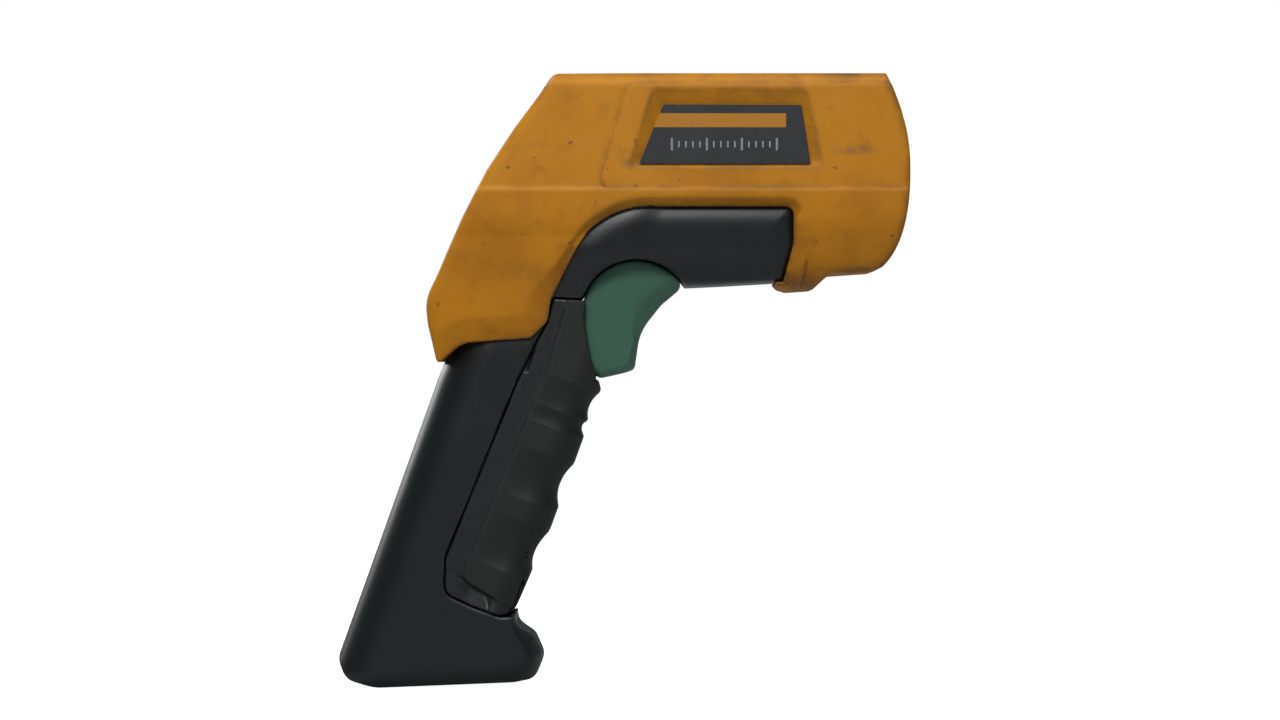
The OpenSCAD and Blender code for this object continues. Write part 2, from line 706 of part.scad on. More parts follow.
switch_length = trigger_back_x - shelf_x - 3.4;
module switch_body() color([0.15, 0.15, 0.16]) stand() difference() {
    block(shelf_x, shelf_x + switch_length, -6.4, 6.4, switch_z - 2.8, switch_z + 3.2);
    translate([0, 0, switch_z]) rod_x(2.4 + 2 * running_fit, shelf_x + switch_length - 5.4, 99);
}
module switch_plunger() color([0.85, 0.3, 0.2]) stand() translate([0, 0, switch_z])
    rod_x(2.4, shelf_x + switch_length - 3.4, trigger_back_x - 0.3);

// ---------- battery door ----------

groove_r = 12.5;
groove_count = 3;
module battery_door() color([0.11, 0.13, 0.13]) stand() difference() {
    intersection() {
        grip_sections(0);
        across(-60, 60) polygon(door_outline);
    }
    // hollow channel, open at the back and the top
    intersection() {
        grip_sections(-wall);
        across(-60, 60) polygon([[-20, 34 * stretch_z], flat(hinge) + [-40, -2.4],
            flat(hinge) + [0, -2.4], flat(hinge) + 2.4 * [cos(-20), sin(-20)],
            flat(at(44.9, 88.2)) + [-2.6, 0.9], flat(at(60, 140)), flat(at(0, 140))]);
    }
    // notches for the arms of the housing
    for (s = [0, 1]) mirror([0, s, 0]) block(-30, hinge.x + 6.5, half_grip - 5.7,
        half_grip - wall + 0.05,
        hinge.y - 12, hinge.y + 5.5);
    translate([hinge.x, 0, hinge.y])
        rod_y(door_pin_d + 2 * running_fit, -half_grip + 0.9, half_grip - 0.9);
    // room for the trigger to swing back between the side walls
    across(-half_trigger - 0.4, half_trigger + 0.4) polygon([
        flat(at(34, 91)), flat(at(38.5, 91)), flat(at(44.4, 88.6)), flat(at(60, 88.6)),
        flat(at(60, 116)), flat(at(34, 116))]);
    // finger grooves, worn round the front
    on_grip() for (k = [0:groove_count - 1])
        translate([grip_depth + groove_r - finger_ridge, 0, groove_low + k * finger_pitch])
            rod_y(2 * groove_r, -30, 30);
    // slot to prise the door open
    for (s = [0, 1]) mirror([0, s, 0]) on_grip() block(19.5, 23.9, half_grip - 1.2, 30,
        92 * stretch_z, 98.6 * stretch_z);
}
groove_low = 42;

module door_hinge_pin() color(steel) stand() translate([hinge.x, 0, hinge.y])
    rod_y(door_pin_d, -half_grip + 1, half_grip - 1);

// ---------- batteries ----------

cell_x = 17;
cell_y = cell_d / 2 + 0.2;
cell_low = 17;
cell_high = cell_low + cell_length;

module cell(up) translate([cell_x, up ? cell_y : -cell_y, 0]) {
    if (up) {
        translate([0, 0, cell_low]) cylinder(d = cell_d, h = cell_length - 1);
        translate([0, 0, cell_low]) cylinder(d = 5.5, h = cell_length);
    } else {
        translate([0, 0, cell_low + 1]) cylinder(d = cell_d, h = cell_length - 1);
        translate([0, 0, cell_low]) cylinder(d = 5.5, h = cell_length);
    }
}
module battery_cells() color([0.75, 0.62, 0.25]) stand() on_grip() {
    cell(true);
    cell(false);
}

module battery_tray() color([0.16, 0.17, 0.18]) stand() on_grip() {
    difference() {
        block(8.6, 14, -half_grip + 3.5, half_grip - 3.5, cell_low - 5.2, cell_high + 5.2);
        for (s = [-1, 1]) translate([cell_x, s * cell_y, 0])
            cylinder(d = cell_d + 0.4, h = 200);
    }
    for (s = [-1, 1]) block(wall, 9, s * 4 - 1, s * 4 + 1, cell_low, cell_high);
    block(8.6, 22, -half_grip + 3.5, half_grip - 3.5, cell_low - 5.2, cell_low - 3.4);
    block(8.6, 22, -half_grip + 3.5, half_grip - 3.5, cell_high + 3.4, cell_high + 5.2);
}

module contact_springs() color(steel) stand() on_grip() {
    translate([cell_x, cell_y, cell_low - 3.4]) coil(6, 0.7, 3.38, 2);
    translate([cell_x, -cell_y, cell_high]) coil(6, 0.7, 3.38, 2);
}
module contact_plates() color(steel) stand() on_grip() {
    block(cell_x - 4, cell_x + 4, cell_y - 5, cell_y + 5, cell_high, cell_high + 0.6);
    block(cell_x - 1, cell_x + 1, cell_y - 1, cell_y + 1, cell_high, cell_high + 3.4);
    block(cell_x - 4, cell_x + 4, -cell_y - 5, -cell_y + 5, cell_low - 0.6, cell_low);
    block(cell_x - 1, cell_x + 1, -cell_y - 1, -cell_y + 1, cell_low - 3.4, cell_low);
}

// leads from the tray up to the main board
lead_d = 1.4;
module lead(y) {
    a = grip_to_world([19, cell_high + 5.2]);
    b = grip_to_world([19, cell_high + 16]);
    c = back_to_world([-bezel_length / 2 + 8, board_back]);
    d = back_to_world([-bezel_length / 2 + 8, board_back - 6]);
    wire(a, b, y);
    wire(b, d, y);
    wire(d, c, y);
    for (p = [b, d]) translate([p.x, y, p.y]) sphere(d = lead_d * 1.2, $fn = 16);
}
module wire(from, to, y) translate([from.x, y, from.y])
    rotate([0, atan2(to.x - from.x, to.y - from.y), 0])
        cylinder(d = lead_d, h = norm(to - from), $fn = 16);
function grip_to_world(p) = flat(heel) + [p.x * cos(rake) + p.y * sin(rake),
    -p.x * sin(rake) + p.y * cos(rake)];
function back_to_world(p) = flat(back_mid) + [p.x * cos(back_tilt) - p.y * sin(back_tilt),
    p.x * sin(back_tilt) + p.y * cos(back_tilt)];
module battery_leads() color([0.6, 0.1, 0.1]) stand() { lead(-5); lead(5); }

// ---------- every piece in its place ----------

left_housing();
right_housing();
left_cover();
right_cover();
left_label();
right_label();
rear_bezel();
display_window();
display_module();
key_left();
key_right();
key_up();
key_down();
keypad_membrane();
main_board();
board_screws();
buzzer();
front_bezel();
lens_barrel();
lens();
lens_ring();
detector();
sensor_board();
laser_module();
laser_window();
ribbon_cable();
probe_socket();
usb_socket();
port_cover();
trigger();
trigger_pin();
trigger_spring();
switch_body();
switch_plunger();
battery_door();
door_hinge_pin();
battery_tray();
battery_cells();
contact_springs();
contact_plates();
battery_leads();
housing_screws();
cover_screws();
tripod_insert();
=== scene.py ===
# Looks of the handheld infrared thermometer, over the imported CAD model.
# Shapes are written in millimetres above the grip's heel, as in the CAD, and
# meshed as the zero level of distance fields.
import math
import bpy
import numpy as np
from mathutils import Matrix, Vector


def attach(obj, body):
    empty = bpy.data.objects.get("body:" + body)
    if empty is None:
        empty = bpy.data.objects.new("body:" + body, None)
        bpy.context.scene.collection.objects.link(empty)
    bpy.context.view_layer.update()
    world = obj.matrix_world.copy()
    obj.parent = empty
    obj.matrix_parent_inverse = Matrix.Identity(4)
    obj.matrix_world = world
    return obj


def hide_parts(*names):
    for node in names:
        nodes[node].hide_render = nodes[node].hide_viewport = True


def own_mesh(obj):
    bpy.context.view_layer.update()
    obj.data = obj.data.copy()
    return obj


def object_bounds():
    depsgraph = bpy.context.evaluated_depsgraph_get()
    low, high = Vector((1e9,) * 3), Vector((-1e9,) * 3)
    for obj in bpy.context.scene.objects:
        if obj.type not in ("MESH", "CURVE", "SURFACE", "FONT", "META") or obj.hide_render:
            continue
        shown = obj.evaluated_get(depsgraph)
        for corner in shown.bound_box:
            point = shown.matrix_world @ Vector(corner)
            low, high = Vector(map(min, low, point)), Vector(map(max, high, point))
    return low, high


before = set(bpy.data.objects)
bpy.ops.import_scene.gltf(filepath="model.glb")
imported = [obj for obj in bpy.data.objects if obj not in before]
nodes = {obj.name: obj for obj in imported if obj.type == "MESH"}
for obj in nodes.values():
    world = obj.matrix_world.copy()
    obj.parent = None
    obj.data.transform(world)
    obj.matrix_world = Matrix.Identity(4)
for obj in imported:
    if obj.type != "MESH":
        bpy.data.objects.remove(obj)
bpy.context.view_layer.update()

MM = 0.001
MOUTH_RISE = 0.8     # the frame's origin is the mouth of the tripod thread
WALL = 2.4
HALF_ARCH = 22.3
HALF_GRIP = 18.5
GRIP_DEPTH = 45.5
RAKE = math.atan2(27.9, 77.8)
HEEL = (-29, 12.7)
BACK_MID = (14.1, 145.3)
BACK_TILT = math.atan2(59.4, 33.8)
HINGE = (17.1, 25.9)
TOP_MID = (55.9, 107.3)
PLATE_X = 115.2


# ---------- outlines ----------

def unit(v):
    return v / np.linalg.norm(v)


def corner(a, b, c, r):
    """One corner of an outline, rounded to radius r."""
    a, b, c = (np.array(p[:2], float) for p in (a, b, c))
    u, v = unit(a - b), unit(c - b)
    w = math.acos(np.clip(u @ v, -1, 1))
    sweep = math.pi - w
    if r <= 0 or sweep < 0.02:
        return [b]
    o = b + unit(u + v) * r / math.sin(w / 2)
    p = b + u * r / math.tan(w / 2) - o
    q = b + v * r / math.tan(w / 2) - o
    n = max(2, math.ceil(math.degrees(sweep) / 6))
    turn = math.sin(sweep)
    out = []
    for k in range(n + 1):
        s = sweep * k / n
        out.append(o + (p * math.sin(sweep - s) + q * math.sin(s)) / turn)
    return out


def rounded(points, first=0, last=None):
    """A closed outline with its corners rounded, or the run of corners asked for."""
    n = len(points)
    out = []
    for i in range(first, n if last is None else last):
        out += corner(points[i - 1], points[i], points[(i + 1) % n], points[i][2])
    return np.array(out)


def bezier(a, b, c, d, n):
    out = []
    for k in range(n + 1):
        t = k / n
        s = 1 - t
        w = (s * s * s, 3 * s * s * t, 3 * s * t * t, t * t * t)
        out.append(tuple(sum(w[i] * p[j] for i, p in enumerate((a, b, c, d))) for j in (0, 1)) + (0,))
    return out


def arc(centre, r, start, end, n):
    out = []
    for k in range(n + 1):
        a = math.radians(start + (end - start) * k / n)
        out.append((centre[0] + r * math.cos(a), centre[1] + r * math.sin(a), 0))
    return out


def base_z(x):
    return 0.8 + x * math.tan(math.radians(2.3))


cover_edge = [(100.8, 138.4, 2.2), (44.9, 138.4, 24), (31.4, 112, 10), (30.4, 105.5, 4),
              (25.5, 100.7, 3), (6, 99.4, 8), (-1.2, 93.2, 0.8)]
hood_curve = (bezier((127.6, 176.9), (130.6, 169.2), (134.2, 161.5), (134.2, 149.5), 12)
              + bezier((134.2, 149.5), (134.2, 136), (131.6, 126), (126.5, 121.2), 12))
cover_points = ([(-3.9, 104.5, 14), (-4.6, 111.5, 12), (12.2, 149, 150), (32.2, 176.9, 3)]
                + hood_curve
                + [(123.8, 119.8, 3), (111, 118.9, 4), (106.4, 114.4, 3), (97.6, 113.7, 3),
                   (95.2, 116.9, 0), (98, 117, 0), (100.8, 128, 10)]
                + cover_edge)
COVER = rounded(cover_points)
EDGE = rounded(cover_points, len(cover_points) - 9)

toe = [(21.5, 18.4, 2), (26.4, 15.1, 4), (29.3, 9, 4), (26.6, 2.6, 4), (20.5, base_z(20.5), 8)]
slot_arc = arc(TOP_MID, 16.1, 29.8, 152, 24)
neck = [(44, 88.2, 0), (17.1, 30, 0), (17.1, 20.9, 0), (19.5, 21.3, 0), (21.5, 21.9, 0)]
inner_end = [(34, 118, 0), (46, 150, 0), (100.8, 150, 0), (100.8, 128, 10), (98, 117, 0)]
behind_trigger = [(40.2, 112.4, 0), (40.2, 105.9, 0), (41, 96, 0)]
GRIP = rounded(neck + toe
               + [(-19, base_z(-19), 12), (-27.6, 2.6, 5), (-30.6, 8.4, 5), (5.8, 109.8, 0)]
               + inner_end + slot_arc + behind_trigger)
# the same with its back moved out, so that the base can be rounded without it
GRIP_WIDER = rounded(neck + toe
                     + [(-40, base_z(-40), 0), (-3, 112, 0)]
                     + inner_end + slot_arc + behind_trigger)

seam = [(8.5, 24, 8), (0.9, 27.6, 4), (1.1, 37.6, 6), (21.9, 88.6, 40), (30.3, 105.5, 6)]
door_front = [(44.8, 88.4, 0.8), (45.5, 85.9, 1), (30.5, 44.5, 6), (24.6, 31.2, 3),
              (21.6, 24.3, 0)]
door_points = (door_front + arc(HINGE, 4.8, -30, -110, 8) + seam
               + [(32.1, 112.2, 0.6), (41.4, 111.6, 0.8), (40.9, 105.9, 6), (42.6, 96, 6)])
DOOR = rounded(door_points)
SEAM = rounded(door_points, 14, 20)

TRIGGER = rounded(arc(TOP_MID, 15.85, 158, 42, 16)
                  + [(69.6, 115.6, 2.2), (63.4, 110.4, 8), (57.1, 102.5, 14), (55.6, 91.4, 2),
                     (45.6, 89.2, 2), (38.5, 92.6, 1.5), (38.5, 105.5, 2)])
FINGER_FACE = np.array([(69.2, 114.6), (66.0, 112.2), (62.4, 109.3), (59.6, 105.8),
                        (57.6, 101.8), (56.5, 97), (55.6, 91.4)])

PANEL = rounded([(53.6, 173.9, 4), (139, 173.9, 0.5), (139, 143.6, 0.5), (44.6, 143.6, 3)])
RECESS = rounded([(60.6, 172, 2.5), (104.6, 171.8, 2.5), (109.2, 149.6, 1.5), (53.6, 149.6, 1.5)])
PLATE = rounded([(63.5, 167.8, 0.8), (103.2, 167.6, 0.8), (105.8, 150.4, 0.8), (56.4, 150.4, 0.8)])

# front sections: half widths against height
upper = [(-13.3, 181.9, 0), (13.3, 181.9, 0), (23.2, 173.9, 2), (25.2, 143.9, 0.4),
         (25.9, 143.2, 0.5)]
upper_other_side = [(-25.9, 143.2, 0.5), (-25.2, 143.9, 0.4), (-23.2, 173.9, 2)]
BARREL = rounded(upper + [(25.9, 140.5, 3), (25.9, 113.5, 23.5), (-25.9, 113.5, 23.5),
                          (-25.9, 140.5, 3)] + upper_other_side)
SHOULDER = rounded(upper + [(25.9, 140.5, 8), (21.9, 101, 0), (20.5, 60, 0), (-20.5, 60, 0),
                            (-21.9, 101, 0), (-25.9, 140.5, 8)] + upper_other_side)


# ---------- distance fields ----------

def line_field(points, x, z, closed=False):
    """Distance to a line of points; below nought inside a closed one."""
    far = np.full(np.broadcast(x, z).shape, 1e9, np.float32)
    inside = np.zeros(far.shape, bool)
    ends = np.roll(points, -1, axis=0) if closed else points[1:]
    for (ax, az), (bx, bz) in zip(points, ends):
        ex, ez = bx - ax, bz - az
        length = ex * ex + ez * ez
        if length < 1e-12:
            continue
        px, pz = x - ax, z - az
        t = np.clip((px * ex + pz * ez) / length, 0, 1)
        far = np.minimum(far, np.hypot(px - t * ex, pz - t * ez))
        if closed and ez != 0:
            inside ^= ((az <= z) != (bz <= z)) & (px < ex * pz / ez)
    return np.where(inside, -far, far)


def outline_field(points, x, z):
    return line_field(points, x, z, True)


def box_field(x, y, x0, x1, half, r_low, r_high):
    """Distance to a rectangle from x0 to x1 and half to each side, its corners rounded."""
    mid, reach = (x0 + x1) / 2, (x1 - x0) / 2
    r = np.where(x < mid, r_low, r_high)
    px = np.abs(x - mid) - reach + r
    py = np.abs(y) - half + r
    out = np.hypot(np.maximum(px, 0), np.maximum(py, 0))
    return np.minimum(np.maximum(px, py), 0) + out - r


def block_field(x, y, z, x0, x1, y0, y1, z0, z1):
    across = np.maximum(np.maximum(x0 - x, x - x1), np.maximum(z0 - z, z - z1))
    return np.maximum(across, np.maximum(y0 - y, y - y1))


def soften(a, b, r):
    """What two solids share, with the edge between them rounded to r."""
    both = np.hypot(np.maximum(a + r, 0), np.maximum(b + r, 0))
    return np.minimum(-r, np.maximum(a, b)) + both


def merge(a, b, r):
    """Two solids joined, with the corner between them filled to radius r."""
    return -soften(-a, -b, r)


def cut(a, b, r=0.3):
    """The first solid less the second."""
    return soften(a, -b, r)


def step(low, high, value):
    t = np.clip((value - low) / (high - low), 0, 1)
    return t * t * (3 - 2 * t)


def ramp(value, blur):
    """The value where it is above nought, with the bend at nought eased."""
    return (value + np.hypot(value, blur)) / 2


def on_grip(x, z):
    dx, dz = x - HEEL[0], z - HEEL[1]
    c, s = math.cos(RAKE), math.sin(RAKE)
    return dx * c - dz * s, dx * s + dz * c


def on_back(x, z):
    dx, dz = x - BACK_MID[0], z - BACK_MID[1]
    c, s = math.cos(BACK_TILT), math.sin(BACK_TILT)
    return dx * c + dz * s, -dx * s + dz * c


# ---------- meshing ----------

def surface(value, origin, size):
    """Points and faces of where a grid of values passes nought (surface nets)."""
    inside = value < 0
    shape = np.array(value.shape) - 1
    count = np.zeros(shape, np.int8)
    for i in (0, 1):
        for j in (0, 1):
            for k in (0, 1):
                count += inside[i:shape[0] + i, j:shape[1] + j, k:shape[2] + k]
    cells = np.argwhere((count > 0) & (count < 8))
    index = np.full(shape, -1, np.int64)
    index[tuple(cells.T)] = np.arange(len(cells))
    total = np.zeros((len(cells), 3))
    hits = np.zeros(len(cells))
    for axis in range(3):
        along = np.eye(3, dtype=int)[axis]
        others = [np.eye(3, dtype=int)[a] for a in range(3) if a != axis]
        for i in (0, 1):
            for j in (0, 1):
                offset = i * others[0] + j * others[1]
                start = value[tuple((cells + offset).T)]
                end = value[tuple((cells + offset + along).T)]
                crosses = (start < 0) != (end < 0)
                t = start[crosses] / (start[crosses] - end[crosses])
                total[crosses] += offset + t[:, None] * along
                hits[crosses] += 1
    points = np.array(origin) + (cells + total / hits[:, None]) * size
    faces = []
    for axis in range(3):
        a, b = [(1, 2), (2, 0), (0, 1)][axis]
        low = np.moveaxis(inside, axis, 0)[:-1]
        high = np.moveaxis(inside, axis, 0)[1:]
        spots = np.argwhere(np.moveaxis(low != high, 0, axis))
        keep = (spots[:, a] > 0) & (spots[:, b] > 0)
        keep &= (spots[:, a] < shape[a]) & (spots[:, b] < shape[b])
        spots = spots[keep]
        flip = inside[tuple(spots.T)]
        ring = []
        for da, db in ((1, 1), (0, 1), (0, 0), (1, 0)):
            cell = spots.copy()
            cell[:, a] -= da
            cell[:, b] -= db
            ring.append(index[tuple(cell.T)])
        ring = np.array(ring).T
        ring[~flip] = ring[~flip][:, ::-1]
        faces.append(ring)
    return points, np.concatenate(faces)


def sample(grid, spots):
    """Values of a grid at fractional places, blended between its points."""
    base = np.clip(np.floor(spots).astype(int), 0, np.array(grid.shape) - 2)
    f = spots - base
    out = 0
    for i in (0, 1):
        for j in (0, 1):
            for k in (0, 1):
                w = np.abs(1 - i - f[:, 0]) * np.abs(1 - j - f[:, 1]) * np.abs(1 - k - f[:, 2])
                out = out + w * grid[base[:, 0] + i, base[:, 1] + j, base[:, 2] + k]
    return out


def build(name, field, low, high, size, place=None, masks=None):
    """A piece whose surface is where field(x, y, z) is nought, in a box from low to high."""
    axes = [np.arange(l, h + size, size, dtype=np.float32) for l, h in zip(low, high)]
    x, y, z = axes[0][:, None, None], axes[1][None, :, None], axes[2][None, None, :]
    value = field(x, y, z) + np.zeros((len(axes[0]), len(axes[1]), len(axes[2])), np.float32)
    points, faces = surface(value, low, size)
    # how sharply the surface bends: above nought on edges, below it in corners
    bend = np.zeros_like(value)
    for axis in range(3):
        bend += np.roll(value, 1, axis) + np.roll(value, -1, axis) - 2 * value
    spots = (points - np.array(low)) / size
    bend = sample(bend / (size * size), spots)
    mesh = bpy.data.meshes.new(name)
    world = points if place is None else place(points)
    shown = world - np.array((0, 0, MOUTH_RISE)) if place is None else world
    mesh.from_pydata((shown * MM).tolist(), [], faces.tolist())
    mesh.polygons.foreach_set("use_smooth", np.ones(len(faces), bool))
    layers = {"bend": bend}
    for key, mask in (masks or {}).items():
        layers[key] = mask(points[:, 0], points[:, 1], points[:, 2])
    for key, values in layers.items():
        layer = mesh.attributes.new(key, "FLOAT", "POINT")
        layer.data.foreach_set("value", np.asarray(values, np.float32))
    mesh.update()
    piece = bpy.data.objects.new(name, mesh)
    bpy.context.scene.collection.objects.link(piece)
    return piece


# ---------- forms ----------

def hand(x, y, z):
    """The arch, the tilted grip and the foot as one sideways form."""
    ay = np.abs(y)
    depth, _ = on_grip(x, z)
    grip = box_field(depth, ay, 0, GRIP_DEPTH, HALF_GRIP, 13, 9)
    arch = box_field(z, ay, 115, 190, HALF_ARCH, 13, 1)
    arch = np.maximum(arch, 28 - x)
    foot = box_field(x, ay, -60, 36, HALF_GRIP - 0.15, 1, 17)
    foot = np.maximum(foot, np.maximum(z - 21.1, -8 - x))
    return np.minimum(merge(grip, arch, 6), foot)


def head_sections(x, y, z):
    ay = np.abs(y)
    return np.minimum(outline_field(BARREL, ay, z),
                      np.maximum(outline_field(SHOULDER, ay, z), x - 59))


def lug(x, z, p, r):
    return np.hypot(x - p[0], z - p[1]) - r


head_screws = [(50, 169), (88, 169), (106, 124)]
grip_screws = [(-19, 12), (13.5, 9.5), (9.5, 82), (84, 126)]


def cover(side):
    def field(x, y, z):
        outline = outline_field(COVER, x, z)
        edge = line_field(EDGE, x, z)
        plain = head_sections(x, y, z)
        section = plain
        # bevel along the edge over the arch, wider at the lower rear
        rear = step(127, 108, z)
        collar = step(96, 99.5, x) * step(138, 134, z)
        band = 2.6 + 4.2 * rear - 1.2 * collar
        deep = 2.9 - 0.5 * rear - 1.9 * collar
        section = section + deep * ramp(1 - edge / band, 0.06)
        # it always stands clear of the dark moulding beside it
        section = np.minimum(section, hand(x, y, z) - 0.55 + 8 * step(4, 9, edge))
        # the side panel stands a little proud, within a fine line
        panel = outline_field(PANEL, x, z)
        above = step(143.6, 144.4, z)
        section = section + above * (0.32 * step(-0.1, 0.5, panel))
        section = section + above * 0.30 * np.exp(-(panel / 0.5) ** 2)
        # the label's recess has sloping sides
        recess = outline_field(RECESS, x, z)
        plate = outline_field(PLATE, x, z)
        slope = np.clip(-recess / np.maximum(plate - recess, 0.01), 0, 1)
        slope = np.where(plate < 0, 1, slope)
        section = section + 1.66 * slope
        near_edge = step(0, 7, edge)
        r = 0.5 + (0.9 + 1.6 * step(60, 25, x)) * near_edge
        whole = soften(outline, section, r)
        inner = np.minimum(outline, outline_field(GRIP, x, z))
        room = np.maximum(inner, plain) + WALL
        shell = cut(whole, room)
        # the edge turns in to meet the arch
        flange = np.maximum(whole, -3.2 - outline)
        flange = np.maximum(flange, edge - 3.4)
        shell = np.minimum(shell, np.maximum(flange, 0.12 - hand(x, y, z)))
        mouth = np.maximum(outline_field(BARREL, np.abs(y), z), 119.8 - z)
        mouth = np.maximum(np.maximum(mouth, z - 176.9) + WALL, PLATE_X - x)
        shell = cut(shell, mouth, 0.9)
        u, n = on_back(x, z)
        pocket = np.maximum(box_field(u, y, -32.15, 32.15, 21.15, 1, 1), -2.7 - n)
        shell = cut(shell, pocket, 0.6)
        deeper = np.maximum(box_field(u, y, -29.8, 29.8, 18.2, 1, 1), -12 - n)
        shell = cut(shell, deeper)
        if side > 0:
            for p in head_screws:
                boss = np.maximum(np.maximum(lug(x, z, p, 3.8), whole), 2 - y)
                shell = np.minimum(shell, boss)
                shell = cut(shell, np.maximum(lug(x, z, p, 2.8), 6 - y), 0.5)
            port_wall = block_field(x, y, z, 5, 28, 17.3, 21, 105.2, 123)
            shell = np.minimum(shell, np.maximum(port_wall, whole))
            port = block_field(x, y, z, 7, 26, 19.5, 60, 106, 121)
            probe = block_field(x, y, z, 8.4, 24.6, 5, 60, 112.9, 119.6)
            usb = block_field(x, y, z, 11.9, 21.1, 5, 60, 107.1, 111.8)
            shell = cut(shell, np.minimum(port, np.minimum(probe, usb)), 0.5)
        return np.maximum(shell, 0.06 - y * side)
    return field


def housing(side):
    def field(x, y, z):
        outline = outline_field(GRIP, x, z)
        covered = outline_field(COVER, x, z)
        edge = line_field(EDGE, x, z)
        plain = hand(x, y, z)
        # a rounded shoulder where the yellow moulding ends
        shoulder = step(108, 122, z) * step(26, 36, x)
        section = plain + (0.9 * shoulder + 0.25) * ramp(1 - edge / 5.5, 0.3) ** 2
        base = step(17, 8, z)
        front = step(17, 25, x) * step(24, 17, z)
        r = 0.9 + 4.6 * np.maximum(base, front) + 0.8 * front
        whole = soften(outline_field(GRIP_WIDER, x, z), section, r)
        whole = np.maximum(np.maximum(whole, outline), -covered - 1.6)
        inner = np.maximum(np.minimum(covered, outline), plain) + WALL
        shell = cut(whole, inner)
        thick_base = block_field(x, np.abs(y), z, -9, 9, -1, 9, 1.6, 11.8)
        shell = np.minimum(shell, thick_base)
        for p in grip_screws:
            boss = np.maximum(np.maximum(lug(x, z, p, 3.8), whole), 2 - y * side)
            shell = np.minimum(shell, boss)
        # room for the door
        door = outline_field(DOOR, x, z) - 0.38
        shell = cut(shell, door, 0.35)
        # shelf behind the trigger, and the arms that carry the door's pin
        ay = np.abs(y)
        shelf = block_field(x, ay, z, 21.5, 25.5, -1, 15.4, 88, 104)
        shelf = np.minimum(shelf, block_field(x, ay, z, 21.5, 25.5, -1, 7, 103, 111))
        shelf = np.minimum(shelf, block_field(x, ay, z, 21.5, 25.1, -1, 15.8, 99.8, 103.4))
        # web that closes the gap above the door's top
        web = block_field(x, ay, z, 37.5, 41.2, -1, 15.3, 111.2, 115)
        web = np.minimum(web, block_field(x, ay, z, 37.5, 43, -1, 20.6, 113, 115))
        web = np.maximum(web, 16.2 - np.hypot(x - TOP_MID[0], z - TOP_MID[1]))
        shelf = np.minimum(shelf, np.maximum(web, whole + 1))
        arm = np.maximum(lug(x, z, HINGE, 3.4), np.maximum(13.1 - ay, ay - 16))
        stem = np.maximum(line_field(np.array([(9, 16), HINGE]), x, z) - 3,
                          np.maximum(13.1 - ay, ay - 16))
        shell = np.minimum(shell, np.minimum(shelf, np.minimum(arm, stem)))
        insert = np.maximum(np.hypot(x, y) - 5.45, z - 11)
        shell = cut(shell, insert)
        if side > 0:
            for p in grip_screws:
                shell = cut(shell, np.maximum(lug(x, z, p, 2.8), 6 - y), 0.5)
        return np.maximum(shell, 0.06 - y * side)
    return field


def groove(height, middle, below, above, deep):
    """How deep one finger groove is at a height up the grip."""
    s = height - middle
    s = np.where(s < 0, s / below, s / above)
    return deep * np.maximum(1 - s * s, 0)


pad_foot = np.array([(3, 34.6), (8.5, 29.8), (19.6, 23.4), (24, 20.8)])


def pad_mask(x, z):
    """One on the door's grip pad, nought on the margin along its seam."""
    return step(5.6, 7.0, line_field(SEAM, x, z) + 2.6 * step(88, 106, z) + 1.4 * step(40, 30, z))


def door(x, y, z):
    outline = outline_field(DOOR, x, z)
    depth, height = on_grip(x, z)
    plain = np.minimum(hand(x, y, z), box_field(depth, y, 0, GRIP_DEPTH, HALF_GRIP, 13, 9))
    fingers = groove(height, 42, 6.2, 9, 2.3) + groove(height, 63.6, 6.4, 7.8, 2.1)
    fingers = np.maximum(fingers, groove(height, 82.2, 2.9, 2.6, 1.7))
    fingers = np.maximum(fingers, groove(height, 88, 4.6, 5.2, 1.7))
    section = plain + fingers * step(26, 44, depth)
    pad = pad_mask(x, z)
    section = section + 0.3 - 0.55 * pad
    # below the pad's foot the margin is cut back, deepest next to the pad
    foot = line_field(pad_foot, x, z)
    lower = step(0.25, -0.25, z - np.interp(x, pad_foot[:, 0], pad_foot[:, 1]))
    cut_back = 0.5 + 1.3 * step(4, 8, x) * step(16.5, 12.5, x)
    section = section + lower * cut_back * np.maximum(1 - foot / 4.5, 0)
    whole = soften(outline, section, 0.5)
    whole = np.maximum(whole, depth - GRIP_DEPTH + fingers)
    room = np.maximum(plain + WALL, depth - 41.3)
    room = np.maximum(room, np.maximum(23.5 - z, 34 - z - (x + 20) * 3.2))
    shell = cut(whole, room)
    ay = np.abs(y)
    notch = block_field(x, ay, z, -30, 23.6, 12.8, 16.15, 13.9, 31.4)
    shell = cut(shell, notch)
    swing = np.array([(34, 91), (38.5, 91), (44.4, 88.6), (60, 88.6), (60, 116), (34, 116)])
    trigger_room = np.maximum(outline_field(swing, x, z), ay - 15.9)
    shell = cut(shell, trigger_room)
    pry = block_field(depth, ay, height, 18, 23.9, 16.9, 30, 92, 98.6)
    return cut(shell, pry)


def trigger(x, y, z):
    outline = outline_field(TRIGGER, x, z)
    face = line_field(FINGER_FACE, x, z)
    wide = 2.6 + 2.3 * step(99, 109, z)
    deep = 2.0 + 1.8 * step(99, 111, z)
    section = np.abs(y) - 15.5
    section = section + deep * ramp(1 - face / wide, 0.12)
    r = 1.0 + 2.2 * step(112, 92, z)
    whole = soften(outline, section, r)
    # a shallow hollow across the finger face
    hollow = 1.1 * np.exp(-(y / 9.5) ** 2) * np.exp(-(face / 3) ** 2)
    return whole + hollow


# centre, length and width of each key, in the slope's own frame
key_spots = [(-18.5, 11.8, 9, 10.4), (-18.5, -11.8, 9, 10.4),
             (-13.9, 0, 6.6, 9.4), (-23.1, 0, 6.6, 9.4)]


